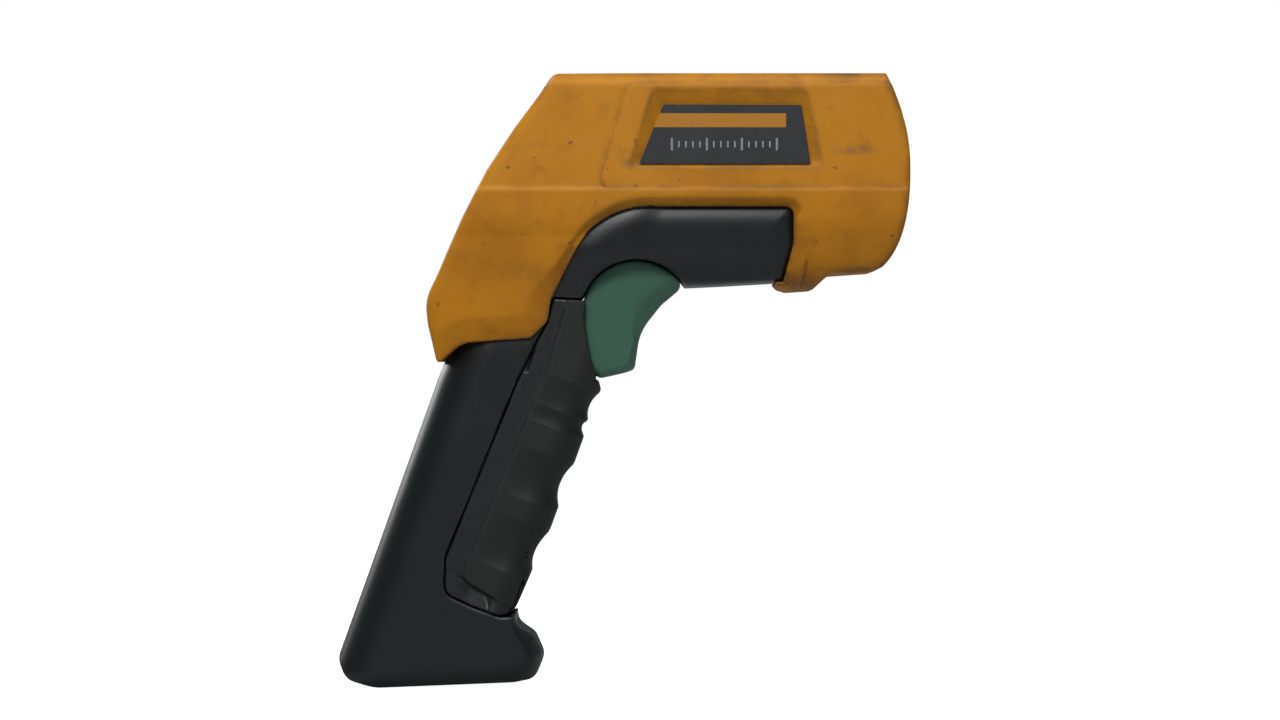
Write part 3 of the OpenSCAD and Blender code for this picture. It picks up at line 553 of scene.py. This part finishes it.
def bezel(x, y, z):
    """The rear bezel in the slope's own frame."""
    plate = np.maximum(box_field(x, y, -32, 32, 21, 1.2, 1.2), -2.2 - z)
    plate = soften(plate, z - 0.2, 0.5)
    # a low frame round the display
    frame_outer = box_field(x, y, -8.2, 30.2, 19.4, 2.5, 2.5)
    plate = np.minimum(plate, soften(np.maximum(frame_outer, -1 - z), z - 0.4, 0.4))
    window = box_field(x, y, -6, 28, 17, 2, 2)
    plate = cut(plate, np.maximum(window, -1 - z), 0.7)
    plate = cut(plate, np.maximum(box_field(x, y, -5, 27, 16, 1.5, 1.5), -9 - z), 0.2)
    for kx, ky, length, width in key_spots:
        key_hole = box_field(x - kx, y - ky, -length / 2 - 0.4, length / 2 + 0.4,
                             width / 2 + 0.4, 2, 2)
        plate = cut(plate, np.maximum(key_hole, -9 - z), 0.25)
    return plate


def key(length, width, points):
    """A domed key with a generic sign pressed into its top."""
    def field(x, y, z):
        side = box_field(x, y, -length / 2, length / 2, width / 2, 1.6, 1.6)
        crown = z - 1.0 + 0.012 * (x * x + y * y)
        sign = outline_field(np.array(points, float), x, y)
        crown = crown + 0.22 * step(0.15, -0.15, sign)
        cap = np.maximum(soften(side, crown, 0.7), -3.2 - z)
        flange = box_field(x, y, -length / 2 - 0.7, length / 2 + 0.7, width / 2 + 0.7, 1.6, 1.6)
        return np.minimum(cap, np.maximum(flange, np.maximum(-3.2 - z, z + 2.5)))
    return field


def from_back(kx=0.0, ky=0.0):
    """Moves points from the slope's frame into the object's."""
    c, s = math.cos(BACK_TILT), math.sin(BACK_TILT)

    def place(p):
        u, v, n = p[:, 0] + kx, p[:, 1] + ky, p[:, 2]
        x = BACK_MID[0] + u * c - n * s
        z = BACK_MID[1] + u * s + n * c - MOUTH_RISE
        return np.stack([x, v, z], axis=1)
    return place


def port_flap(x, y, z):
    body = np.maximum(np.maximum(7.3 - x, x - 25.7), np.maximum(107.0 - z, z - 120.7))
    body = soften(soften(body, y - 22.2, 0.7), 19.8 - y, 0.4)
    roll = np.maximum(np.hypot(y - 21, z - 107.5) - 1.2, np.maximum(7.3 - x, x - 25.7))
    body = np.minimum(np.maximum(body, 107.5 - z), roll)
    lip = block_field(x, y, z, 11.5, 21.5, 21.6, 23.0, 118.6, 120.2)
    ribs = 0.12 * np.cos(x * 2.6) * step(109, 110, z) * step(117, 116, z) * step(21.8, 22.1, y)
    return np.minimum(body + ribs, soften(lip, y - 22.9, 0.5))


SPRING_FROM, SPRING_TO, SPRING_Z = 25.5, 38.45, 94
SPRING_R, WIRE_R, TURNS = 2.65, 0.33, 7


def coil_spring(name, around=24, sides=8):
    """A wire wound along X, with closed ends."""
    steps = TURNS * around
    pitch = (SPRING_TO - SPRING_FROM - 2.4 * WIRE_R) / TURNS
    slope = math.atan2(pitch, 2 * math.pi * SPRING_R)
    points = []
    for i in range(steps + 1):
        turn = 2 * math.pi * i / around
        out = Vector((0, math.cos(turn), math.sin(turn)))
        along = Vector((math.sin(slope), -math.sin(turn) * math.cos(slope),
                        math.cos(turn) * math.cos(slope)))
        side = along.cross(out)
        start = Vector((SPRING_FROM + 1.2 * WIRE_R + pitch * i / around, 0, SPRING_Z - MOUTH_RISE))
        for k in range(sides):
            a = 2 * math.pi * k / sides
            spoke = out * (SPRING_R + WIRE_R * math.cos(a)) + side * (WIRE_R * math.sin(a))
            points.append((start + spoke) * MM)
    faces = []
    for i in range(steps):
        for k in range(sides):
            a, b = i * sides + k, i * sides + (k + 1) % sides
            faces.append((a, a + sides, b + sides, b))
    faces.append(tuple(range(sides)))
    faces.append(tuple(steps * sides + k for k in reversed(range(sides))))
    mesh = bpy.data.meshes.new(name)
    mesh.from_pydata([tuple(p) for p in points], [], faces)
    mesh.polygons.foreach_set("use_smooth", np.ones(len(faces), bool))
    mesh.update()
    piece = bpy.data.objects.new(name, mesh)
    bpy.context.scene.collection.objects.link(piece)
    return piece


# ---------- materials ----------

def new_material(name):
    m = bpy.data.materials.new(name)
    m.use_nodes = True
    return m, m.node_tree.nodes, m.node_tree.links, m.node_tree.nodes["Principled BSDF"]


class Look:
    """A node tree with short names for what every finish here uses."""

    def __init__(self, name, colour, rough=0.5, metal=0.0, coat=0.0, specular=0.5):
        self.material, self.nodes, self.links, self.shader = new_material(name)
        self.coords = self.nodes.new("ShaderNodeTexCoord").outputs["Object"]
        self.shader.inputs["Metallic"].default_value = metal
        self.shader.inputs["Coat Weight"].default_value = coat
        self.shader.inputs["Specular IOR Level"].default_value = specular
        self.colour = self.rgb(colour)
        self.rough = self.number(rough)
        self.height = None

    def rgb(self, c):
        n = self.nodes.new("ShaderNodeRGB")
        n.outputs[0].default_value = (*c, 1)
        return n.outputs[0]

    def number(self, v):
        n = self.nodes.new("ShaderNodeValue")
        n.outputs[0].default_value = v
        return n.outputs[0]

    def math(self, kind, a, b=0.0, clamp=False):
        n = self.nodes.new("ShaderNodeMath")
        n.operation = kind
        n.use_clamp = clamp
        for i, v in enumerate((a, b)):
            if isinstance(v, (int, float)):
                n.inputs[i].default_value = v
            else:
                self.links.new(v, n.inputs[i])
        return n.outputs[0]

    def span(self, value, low, high):
        """Nought at low, one at high, eased between."""
        n = self.nodes.new("ShaderNodeMapRange")
        n.interpolation_type = "SMOOTHSTEP"
        self.links.new(value, n.inputs["Value"])
        n.inputs["From Min"].default_value = min(low, high)
        n.inputs["From Max"].default_value = max(low, high)
        n.inputs["To Min"].default_value = 0.0 if low < high else 1.0
        n.inputs["To Max"].default_value = 1.0 if low < high else 0.0
        return n.outputs["Result"]

    def noise(self, scale, detail=3.0, rough=0.55, stretch=None):
        n = self.nodes.new("ShaderNodeTexNoise")
        n.inputs["Scale"].default_value = scale
        n.inputs["Detail"].default_value = detail
        n.inputs["Roughness"].default_value = rough
        source = self.coords
        if stretch:
            m = self.nodes.new("ShaderNodeMapping")
            m.inputs["Scale"].default_value = stretch
            self.links.new(source, m.inputs["Vector"])
            source = m.outputs["Vector"]
        self.links.new(source, n.inputs["Vector"])
        return n.outputs["Fac"]

    def axis(self, i):
        if not hasattr(self, "split"):
            self.split = self.nodes.new("ShaderNodeSeparateXYZ")
            self.links.new(self.coords, self.split.inputs[0])
        return self.split.outputs[i]

    def layer(self, name):
        n = self.nodes.new("ShaderNodeAttribute")
        n.attribute_name = name
        return n.outputs["Fac"]

    def paint(self, colour, amount):
        """Lays a colour over what is there, by the amount."""
        n = self.nodes.new("ShaderNodeMix")
        n.data_type = "RGBA"
        self.links.new(self.colour, n.inputs[6])
        n.inputs[7].default_value = (*colour, 1)
        if isinstance(amount, (int, float)):
            n.inputs[0].default_value = amount
        else:
            self.links.new(amount, n.inputs[0])
        self.colour = n.outputs[2]

    def roughen(self, value, amount):
        self.rough = self.math("ADD", self.rough, self.math("MULTIPLY", value, amount), True)

    def raise_by(self, value, amount):
        part = self.math("MULTIPLY", value, amount)
        self.height = part if self.height is None else self.math("ADD", self.height, part)

    def done(self, strength=0.5, distance=0.0004):
        self.links.new(self.colour, self.shader.inputs["Base Color"])
        self.links.new(self.rough, self.shader.inputs["Roughness"])
        if self.height is not None:
            bump = self.nodes.new("ShaderNodeBump")
            bump.inputs["Strength"].default_value = strength
            bump.inputs["Distance"].default_value = distance
            self.links.new(self.height, bump.inputs["Height"])
            self.links.new(bump.outputs["Normal"], self.shader.inputs["Normal"])
        return self.material


def spot(look, x, z, rx, rz, blur=1.0):
    """A soft oval patch on the sides, centred at a place in millimetres."""
    dx = look.math("DIVIDE", look.math("SUBTRACT", look.axis(0), x * MM), rx * MM)
    dz = look.math("DIVIDE", look.math("SUBTRACT", look.axis(2), (z - MOUTH_RISE) * MM), rz * MM)
    reach = look.math("SQRT", look.math("ADD", look.math("MULTIPLY", dx, dx),
                                        look.math("MULTIPLY", dz, dz)))
    return look.span(reach, 1.0, 1.0 - blur)


def yellow_finish():
    k = Look("yellow_overmould", (0.43, 0.168, 0.002), 0.52, specular=0.22)
    broad = k.noise(28, 4, 0.6)
    k.paint((0.30, 0.108, 0.003), k.math("MULTIPLY", k.span(broad, 0.40, 0.66), 0.62))
    k.paint((0.5, 0.225, 0.015), k.math("MULTIPLY", k.span(k.noise(16, 2), 0.5, 0.75), 0.4))
    mottle = k.span(k.noise(140, 4, 0.65), 0.52, 0.75)
    k.paint((0.20, 0.075, 0.005), k.math("MULTIPLY", mottle, 0.34))
    # brown dirt and painted shade along the lower edges, under the chin, round the side panel, in the
    # label's recess and in corners
    ground = k.noise(90, 5, 0.7)
    dirt_and_painted_shade = k.math("MULTIPLY", k.layer("dirt_and_shade"), k.span(ground, 0.3, 0.62))
    k.paint((0.10, 0.05, 0.012), k.math("MULTIPLY", dirt_and_painted_shade, 0.8))
    # concave corners darkened brown: dirt and painted shade
    corner_dirt_and_shade = k.math("MULTIPLY", k.span(k.layer("bend"), -0.25, -1.6), k.span(ground, 0.25, 0.6))
    k.paint((0.10, 0.048, 0.01), k.math("MULTIPLY", corner_dirt_and_shade, 0.7))
    worn = k.math("MULTIPLY", k.span(k.layer("bend"), 0.35, 1.6), k.span(k.noise(60, 3), 0.45, 0.65))
    k.paint((0.30, 0.15, 0.03), k.math("MULTIPLY", worn, 0.35))
    # a smudge behind the hood's rim and a scuff at the recess's lower corner
    smear = k.math("MULTIPLY", spot(k, 118, 154.6, 9, 2.2), k.span(k.noise(220, 4), 0.3, 0.6))
    k.paint((0.11, 0.075, 0.035), k.math("MULTIPLY", smear, 0.7))
    scuff = k.math("MULTIPLY", spot(k, 55, 151.5, 5, 4), k.span(k.noise(300, 3), 0.4, 0.6))
    k.paint((0.12, 0.07, 0.03), k.math("MULTIPLY", scuff, 0.75))
    flecks = k.span(k.noise(420, 2, 0.5), 0.715, 0.75)
    k.paint((0.08, 0.045, 0.02), k.math("MULTIPLY", flecks, 0.7))
    scratch = k.span(k.noise(60, 2, 0.6, (1, 1, 14)), 0.70, 0.74)
    k.paint((0.26, 0.12, 0.02), k.math("MULTIPLY", scratch, 0.35))
    k.roughen(broad, 0.16)
    k.raise_by(k.noise(900, 2), 0.5)
    k.raise_by(k.noise(240, 3), 0.25)
    k.raise_by(flecks, -0.6)
    return k.done(0.35, 0.00012)


def charcoal_finish():
    k = Look("charcoal_moulding", (0.0050, 0.0072, 0.0082), 0.30, specular=0.36)
    broad = k.noise(22, 3)
    k.paint((0.0085, 0.0112, 0.0120), k.math("MULTIPLY", k.span(broad, 0.45, 0.7), 0.5))
    k.paint((0.0035, 0.0048, 0.0054), k.math("MULTIPLY", k.span(k.noise(75, 4), 0.5, 0.72), 0.45))
    worn = k.math("MULTIPLY", k.span(k.layer("bend"), 0.4, 1.8), k.span(k.noise(120, 4), 0.42, 0.62))
    k.paint((0.06, 0.065, 0.065), k.math("MULTIPLY", worn, 0.3))
    dust = k.math("MULTIPLY", k.span(k.layer("bend"), -0.4, -2.0), k.span(k.noise(160, 3), 0.4, 0.6))
    k.paint((0.07, 0.065, 0.055), k.math("MULTIPLY", dust, 0.45))
    k.roughen(k.noise(45, 3), 0.12)
    k.raise_by(k.noise(1500, 2), 0.6)
    k.raise_by(k.noise(420, 2), 0.3)
    return k.done(0.3, 0.0001)


def door_finish():
    k = Look("door_moulding", (0.0055, 0.0078, 0.0084), 0.36, specular=0.36)
    pad = k.layer("pad")
    k.paint((0.0048, 0.0062, 0.0062), k.math("MULTIPLY", pad, 0.85))
    k.paint((0.0105, 0.013, 0.013), k.math("MULTIPLY", k.span(k.noise(26, 3), 0.48, 0.72), 0.45))
    worn = k.math("MULTIPLY", k.span(k.layer("bend"), 0.4, 1.8), k.span(k.noise(120, 4), 0.42, 0.62))
    k.paint((0.045, 0.05, 0.05), k.math("MULTIPLY", worn, 0.22))
    k.rough = k.math("ADD", k.rough, k.math("MULTIPLY", pad, 0.14), True)
    k.roughen(k.noise(60, 3), 0.12)
    k.raise_by(k.noise(1100, 2), 0.7)
    k.raise_by(k.math("MULTIPLY", pad, k.noise(700, 1)), 0.5)
    return k.done(0.35, 0.00012)


def jade_finish():
    k = Look("jade_trigger", (0.029, 0.100, 0.066), 0.3, specular=0.5)
    k.paint((0.022, 0.075, 0.052), k.math("MULTIPLY", k.span(k.noise(50, 3), 0.45, 0.7), 0.5))
    k.paint((0.06, 0.15, 0.11), k.math("MULTIPLY", k.span(k.noise(30, 2), 0.5, 0.75), 0.35))
    worn = k.math("MULTIPLY", k.span(k.layer("bend"), 0.3, 1.2), k.span(k.noise(150, 4), 0.4, 0.6))
    k.paint((0.12, 0.21, 0.16), k.math("MULTIPLY", worn, 0.35))
    k.paint((0.02, 0.04, 0.03), k.math("MULTIPLY", k.span(k.noise(380, 2), 0.7, 0.74), 0.5))
    k.roughen(k.noise(70, 3), 0.16)
    k.raise_by(k.noise(1300, 2), 0.5)
    return k.done(0.25, 0.0001)


def label_finish():
    k = Look("label_print", (0.0135, 0.0150, 0.0165), 0.42, specular=0.3)
    x = k.math("MULTIPLY", k.axis(0), 1000)
    z = k.math("ADD", k.math("MULTIPLY", k.axis(2), 1000), MOUTH_RISE)
    k.paint((0.026, 0.028, 0.03), k.math("MULTIPLY", k.span(k.noise(80, 3), 0.45, 0.7), 0.5))
    stripe = k.math("MULTIPLY", k.span(z, 160.95, 161.1), k.span(z, 165.1, 164.95))
    stripe = k.math("MULTIPLY", stripe, k.span(x, 98.7, 98.55))
    k.paint((0.36, 0.145, 0.004), stripe)
    # a plain row of marks, every fifth one taller
    def comb(pitch, wide):
        beat = k.math("FRACT", k.math("DIVIDE", k.math("SUBTRACT", x, 66.0), pitch))
        away = k.math("ABSOLUTE", k.math("SUBTRACT", beat, 0.5))
        return k.span(away, 0.5 - wide / pitch - 0.02, 0.5 - wide / pitch + 0.02)
    run = k.math("MULTIPLY", k.span(x, 64.9, 65.0), k.span(x, 97.2, 97.1))
    short = k.math("MULTIPLY", k.span(z, 155.2, 155.3), k.span(z, 157.1, 157.0))
    tall = k.math("MULTIPLY", k.span(z, 154.3, 154.4), k.span(z, 158.0, 157.9))
    marks = k.math("MAXIMUM", k.math("MULTIPLY", comb(2.0, 0.22), short),
                   k.math("MULTIPLY", comb(10.0, 0.26), tall))
    k.paint((0.27, 0.28, 0.29), k.math("MULTIPLY", k.math("MULTIPLY", marks, run), 0.8))
    rubbed = k.span(k.noise(300, 4, 0.7), 0.62, 0.72)
    k.paint((0.075, 0.075, 0.075), k.math("MULTIPLY", rubbed, 0.25))
    k.roughen(k.noise(120, 3), 0.15)
    k.raise_by(k.noise(1600, 2), 0.4)
    return k.done(0.2, 0.00006)


def metal_finish(name, colour, rough=0.3, brushed=(1, 1, 1)):
    k = Look(name, colour, rough, metal=1.0)
    dull = tuple(c * 0.6 for c in colour)
    k.paint(dull, k.math("MULTIPLY", k.span(k.noise(160, 4), 0.45, 0.7), 0.5))
    k.roughen(k.noise(260, 3, 0.6, brushed), 0.25)
    k.raise_by(k.noise(900, 2, 0.5, brushed), 0.5)
    return k.done(0.2, 0.00005)


def plastic_finish(name, colour, rough=0.45, grain=1200, specular=0.5):
    k = Look(name, colour, rough, specular=specular)
    k.paint(tuple(c * 0.62 for c in colour), k.math("MULTIPLY", k.span(k.noise(60, 4), 0.45, 0.7), 0.45))
    k.paint(tuple(min(c * 1.5 + 0.01, 1) for c in colour),
            k.math("MULTIPLY", k.span(k.noise(240, 3), 0.55, 0.75), 0.25))
    k.roughen(k.noise(90, 3), 0.18)
    k.raise_by(k.noise(grain, 2), 0.5)
    return k.done(0.25, 0.00008)


def glass_finish(name, colour, rough, clear):
    k = Look(name, colour, rough)
    k.shader.inputs["Transmission Weight"].default_value = clear
    k.shader.inputs["IOR"].default_value = 1.49
    k.paint(tuple(c * 0.8 for c in colour), k.math("MULTIPLY", k.span(k.noise(70, 3), 0.5, 0.7), 0.4))
    k.roughen(k.span(k.noise(130, 4), 0.5, 0.75), 0.12)
    k.raise_by(k.noise(500, 2), 0.1)
    return k.done(0.1, 0.00003)


def screen_finish():
    """The unlit display: faint dots behind the glass."""
    k = Look("display_unlit", (0.27, 0.31, 0.26), 0.35)
    k.paint((0.22, 0.26, 0.22), k.math("MULTIPLY", k.span(k.noise(40, 2), 0.4, 0.7), 0.6))
    k.roughen(k.noise(90, 2), 0.1)
    k.raise_by(k.noise(1500, 1), 0.2)
    return k.done(0.1, 0.00003)


def cell_finish():
    """A plain wrapped cell: dark sleeve, copper band at one end, steel button."""
    k = Look("cell_sleeve", (0.03, 0.032, 0.036), 0.3)
    dx = k.math("ADD", k.axis(0), -HEEL[0] * MM)
    dz = k.math("ADD", k.axis(2), (MOUTH_RISE - HEEL[1]) * MM)
    up = k.math("ADD", k.math("MULTIPLY", dx, math.sin(RAKE)), k.math("MULTIPLY", dz, math.cos(RAKE)))
    k.paint((0.55, 0.27, 0.10), k.span(up, 0.0525, 0.0527))
    k.paint((0.5, 0.5, 0.5), k.span(up, 0.0664, 0.0666))
    k.paint((0.5, 0.5, 0.5), k.span(up, 0.0181, 0.0179))
    k.roughen(k.noise(120, 3), 0.15)
    k.raise_by(k.noise(600, 2), 0.3)
    return k.done(0.15, 0.00005)


def board_finish():
    k = Look("circuit_board", (0.012, 0.075, 0.035), 0.35)
    traces = k.span(k.noise(260, 1, 0.3, (1, 3, 1)), 0.52, 0.54)
    k.paint((0.02, 0.11, 0.05), k.math("MULTIPLY", traces, 0.8))
    pads = k.span(k.noise(520, 0), 0.74, 0.75)
    k.paint((0.5, 0.48, 0.42), pads)
    k.roughen(pads, -0.1)
    k.raise_by(traces, 0.4)
    return k.done(0.3, 0.00005)


yellow = yellow_finish()
charcoal = charcoal_finish()
door_skin = door_finish()
jade = jade_finish()
label = label_finish()
steel = metal_finish("steel_bright", (0.62, 0.63, 0.65), 0.28)
screw_steel = metal_finish("screw_steel", (0.33, 0.33, 0.35), 0.36)
brass = metal_finish("brass_insert", (0.66, 0.46, 0.17), 0.32)
spring_steel = metal_finish("spring_wire", (0.50, 0.51, 0.54), 0.25)
black = plastic_finish("black_plastic", (0.014, 0.015, 0.016), 0.5)
bezel_black = plastic_finish("bezel_plastic", (0.022, 0.024, 0.026), 0.42)
key_grey = plastic_finish("key_rubber", (0.055, 0.06, 0.064), 0.58, 900)
barrel_black = plastic_finish("barrel_anodised", (0.018, 0.019, 0.021), 0.38, 1600)
rubber = plastic_finish("port_rubber", (0.016, 0.017, 0.018), 0.68, 800, 0.3)
green_block = plastic_finish("socket_green", (0.02, 0.12, 0.045), 0.42)
membrane = plastic_finish("membrane_silicone", (0.11, 0.115, 0.12), 0.6, 700)
red_plastic = plastic_finish("plunger_red", (0.42, 0.05, 0.03), 0.4)
lead_red = plastic_finish("lead_insulation", (0.30, 0.02, 0.015), 0.4, 600)
flex = plastic_finish("flex_cable", (0.40, 0.17, 0.03), 0.32, 600)
board = board_finish()
window = glass_finish("display_glass", (0.72, 0.78, 0.76), 0.06, 0.9)
laser_glass = glass_finish("laser_glass", (0.45, 0.04, 0.03), 0.08, 0.75)
lens_glass = metal_finish("lens_coated", (0.10, 0.115, 0.125), 0.12)
screen = screen_finish()
cells = cell_finish()

kept = {
    "left_label": label, "right_label": label, "display_window": window,
    "display_module": screen, "keypad_membrane": membrane, "main_board": board,
    "sensor_board": board, "board_screws": screw_steel, "buzzer": black,
    "front_bezel": bezel_black, "lens_barrel": barrel_black, "lens": lens_glass,
    "lens_ring": barrel_black, "detector": steel, "laser_module": brass,
    "laser_window": laser_glass, "ribbon_cable": flex, "probe_socket": green_block,
    "usb_socket": steel, "trigger_pin": steel,
    "switch_body": black, "switch_plunger": red_plastic, "door_hinge_pin": steel,
    "battery_tray": black, "battery_cells": cells, "contact_springs": spring_steel,
    "contact_plates": steel, "battery_leads": lead_red, "housing_screws": screw_steel,
    "cover_screws": screw_steel, "tripod_insert": brass,
}
for name, material in kept.items():
    slots = nodes[name].material_slots
    if not slots:
        nodes[name].data.materials.append(material)
    for slot in slots:
        slot.material = material


# ---------- pieces ----------

def dirt_and_shade_mask(x, y, z):
    """Where the yellow moulding is darkened brown: dirt, and painted shade along its edges, under the
    chin, round the side panel's line and in the label's recess.
    """
    along_edge = np.exp(-line_field(EDGE, x, z) / 1.7)
    chin = step(123, 116, z) * step(92, 97, x)
    rim = step(3.2, 0.3, -outline_field(COVER, x, z)) * step(100, 120, x)
    top = step(2.4, 0.2, -outline_field(COVER, x, z)) * step(165, 172, z)
    recess = np.exp(-np.abs(outline_field(RECESS, x, z)) / 0.7)
    panel = np.exp(-np.abs(outline_field(PANEL, x, z)) / 0.5)
    slope = step(1.2, -0.2, outline_field(RECESS, x, z)) * step(40, 60, x)
    out = 0.9 * along_edge + 0.6 * chin + 0.6 * rim + 0.5 * top + 0.5 * recess + 0.7 * panel
    out = out + 0.35 * slope
    return np.clip(out, 0, 1)


def finish_piece(piece, material, body, *stands_for):
    piece.data.materials.append(material)
    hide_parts(*stands_for)
    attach(piece, body)
    return piece


fine = 0.5
for side, hand_name in ((1, "left"), (-1, "right")):
    y_low, y_high = (-0.6, 27) if side > 0 else (-27, 0.6)
    shell = build(hand_name + "_cover_shell", cover(side), (-6, y_low, 90), (136, y_high, 179),
                  fine, masks={"dirt_and_shade": dirt_and_shade_mask})
    finish_piece(shell, yellow, "body", hand_name + "_cover")
    y_low, y_high = (-0.6, 23.5) if side > 0 else (-23.5, 0.6)
    shell = build(hand_name + "_grip_shell", housing(side), (-32, y_low, -1), (104, y_high, 144),
                  fine)
    finish_piece(shell, charcoal, "body", hand_name + "_housing")

door_piece = build("battery_door_skin", door, (-4, -20, 18), (48, 20, 114), 0.42,
                   masks={"pad": lambda x, y, z: pad_mask(x, z)})
finish_piece(door_piece, door_skin, "battery_door", "battery_door")
trigger_piece = build("trigger_lever", trigger, (37, -17, 87), (72, 17, 124), 0.42)
finish_piece(trigger_piece, jade, "trigger", "trigger")
bezel_piece = build("rear_bezel_frame", bezel, (-33, -22, -3), (33, 22, 2), 0.36,
                    place=from_back())
finish_piece(bezel_piece, bezel_black, "body", "rear_bezel")

signs = {
    "key_left": [(-1.4, 0.2), (1.4, 1.8), (1.4, -1.4)],
    "key_right": [(-1.5, 1.2), (1.5, 1.2), (1.5, -1.2), (-1.5, -1.2)],
    "key_up": [(-0.9, 1.6), (1.3, 0), (-0.9, -1.6)],
    "key_down": [(0.9, 1.6), (-1.3, 0), (0.9, -1.6)],
}
for spot_at, name in zip(key_spots, ("key_left", "key_right", "key_up", "key_down")):
    kx, ky, length, width = spot_at
    piece = build(name + "_cap", key(length, width, signs[name]),
                  (-length / 2 - 1.2, -width / 2 - 1.2, -3.6), (length / 2 + 1.2, width / 2 + 1.2, 1.6),
                  0.2, place=from_back(kx, ky))
    finish_piece(piece, key_grey, name, name)

flap = build("port_flap", port_flap, (6.8, 19.2, 105.8), (26.2, 23.6, 121.4), 0.25)
finish_piece(flap, rubber, "port_cover", "port_cover")

# the trigger's return spring, which the trigger presses together, built as a fixed coil
spring = coil_spring("trigger_return_spring")
finish_piece(spring, spring_steel, "body", "trigger_spring")
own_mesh(spring)


# ---------- stage, light and camera ----------

floor_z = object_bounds()[0][2]

bpy.ops.mesh.primitive_plane_add(size=60, location=(0.05, 0, floor_z))
floor = bpy.context.object
floor.name = "floor"
look = Look("floor_pale", (0.42, 0.42, 0.42), 0.9)
look.paint((0.39, 0.39, 0.39), look.math("MULTIPLY", look.noise(3, 2), 0.2))
seen = look.nodes.new("ShaderNodeLightPath").outputs["Is Camera Ray"]
look.shader.inputs["Emission Color"].default_value = (1, 1, 1, 1)
look.links.new(look.math("MULTIPLY", seen, 0.97), look.shader.inputs["Emission Strength"])
floor.data.materials.append(look.done())

world = bpy.data.worlds.new("studio")
bpy.context.scene.world = world
world.use_nodes = True
ambient = world.node_tree.nodes["Background"]
ambient.inputs["Color"].default_value = (0.93, 0.96, 1, 1)
ambient.inputs["Strength"].default_value = 0.16
paper = world.node_tree.nodes.new("ShaderNodeBackground")
paper.inputs["Color"].default_value = (1, 1, 1, 1)
ray = world.node_tree.nodes.new("ShaderNodeLightPath")
choose = world.node_tree.nodes.new("ShaderNodeMixShader")
world.node_tree.links.new(ray.outputs["Is Camera Ray"], choose.inputs[0])
world.node_tree.links.new(ambient.outputs[0], choose.inputs[1])
world.node_tree.links.new(paper.outputs[0], choose.inputs[2])
world.node_tree.links.new(choose.outputs[0], world.node_tree.nodes["World Output"].inputs[0])
bpy.context.scene.view_settings.view_transform = "Standard"


def soft_light(name, place, target, size, power, colour=(1, 1, 1)):
    data = bpy.data.lights.new(name, "AREA")
    data.shape = "RECTANGLE"
    data.size, data.size_y = size
    data.energy = power
    data.color = colour
    lamp = bpy.data.objects.new(name, data)
    bpy.context.scene.collection.objects.link(lamp)
    lamp.location = place
    aim = Vector(target) - Vector(place)
    lamp.rotation_euler = aim.to_track_quat("-Z", "Y").to_euler()
    return lamp


middle = (0.055, 0, 0.1)
soft_light("key_light", (-0.12, -0.85, 0.72), middle, (0.35, 0.35), 7)
soft_light("top_light", (0.05, -0.15, 1.3), middle, (1.2, 0.6), 11)
soft_light("fill_light", (0.9, -0.9, 0.35), middle, (0.8, 0.8), 0.8)
soft_light("back_light", (-0.7, 0.9, 0.6), middle, (0.7, 0.7), 7)

camera_data = bpy.data.cameras.new("camera")
camera_data.lens = 120
camera_data.sensor_width = 36
camera = bpy.data.objects.new("camera", camera_data)
bpy.context.scene.collection.objects.link(camera)
bpy.context.scene.camera = camera
VIEW_WIDTH = 0.3649     # what the frame spans across at the near side
distance = camera_data.lens / camera_data.sensor_width * VIEW_WIDTH
centre = Vector((0.0569, -0.0259, 0.0937))
camera.location = centre + Vector((0, -distance, 0))
camera.rotation_euler = (math.radians(90), 0, 0)
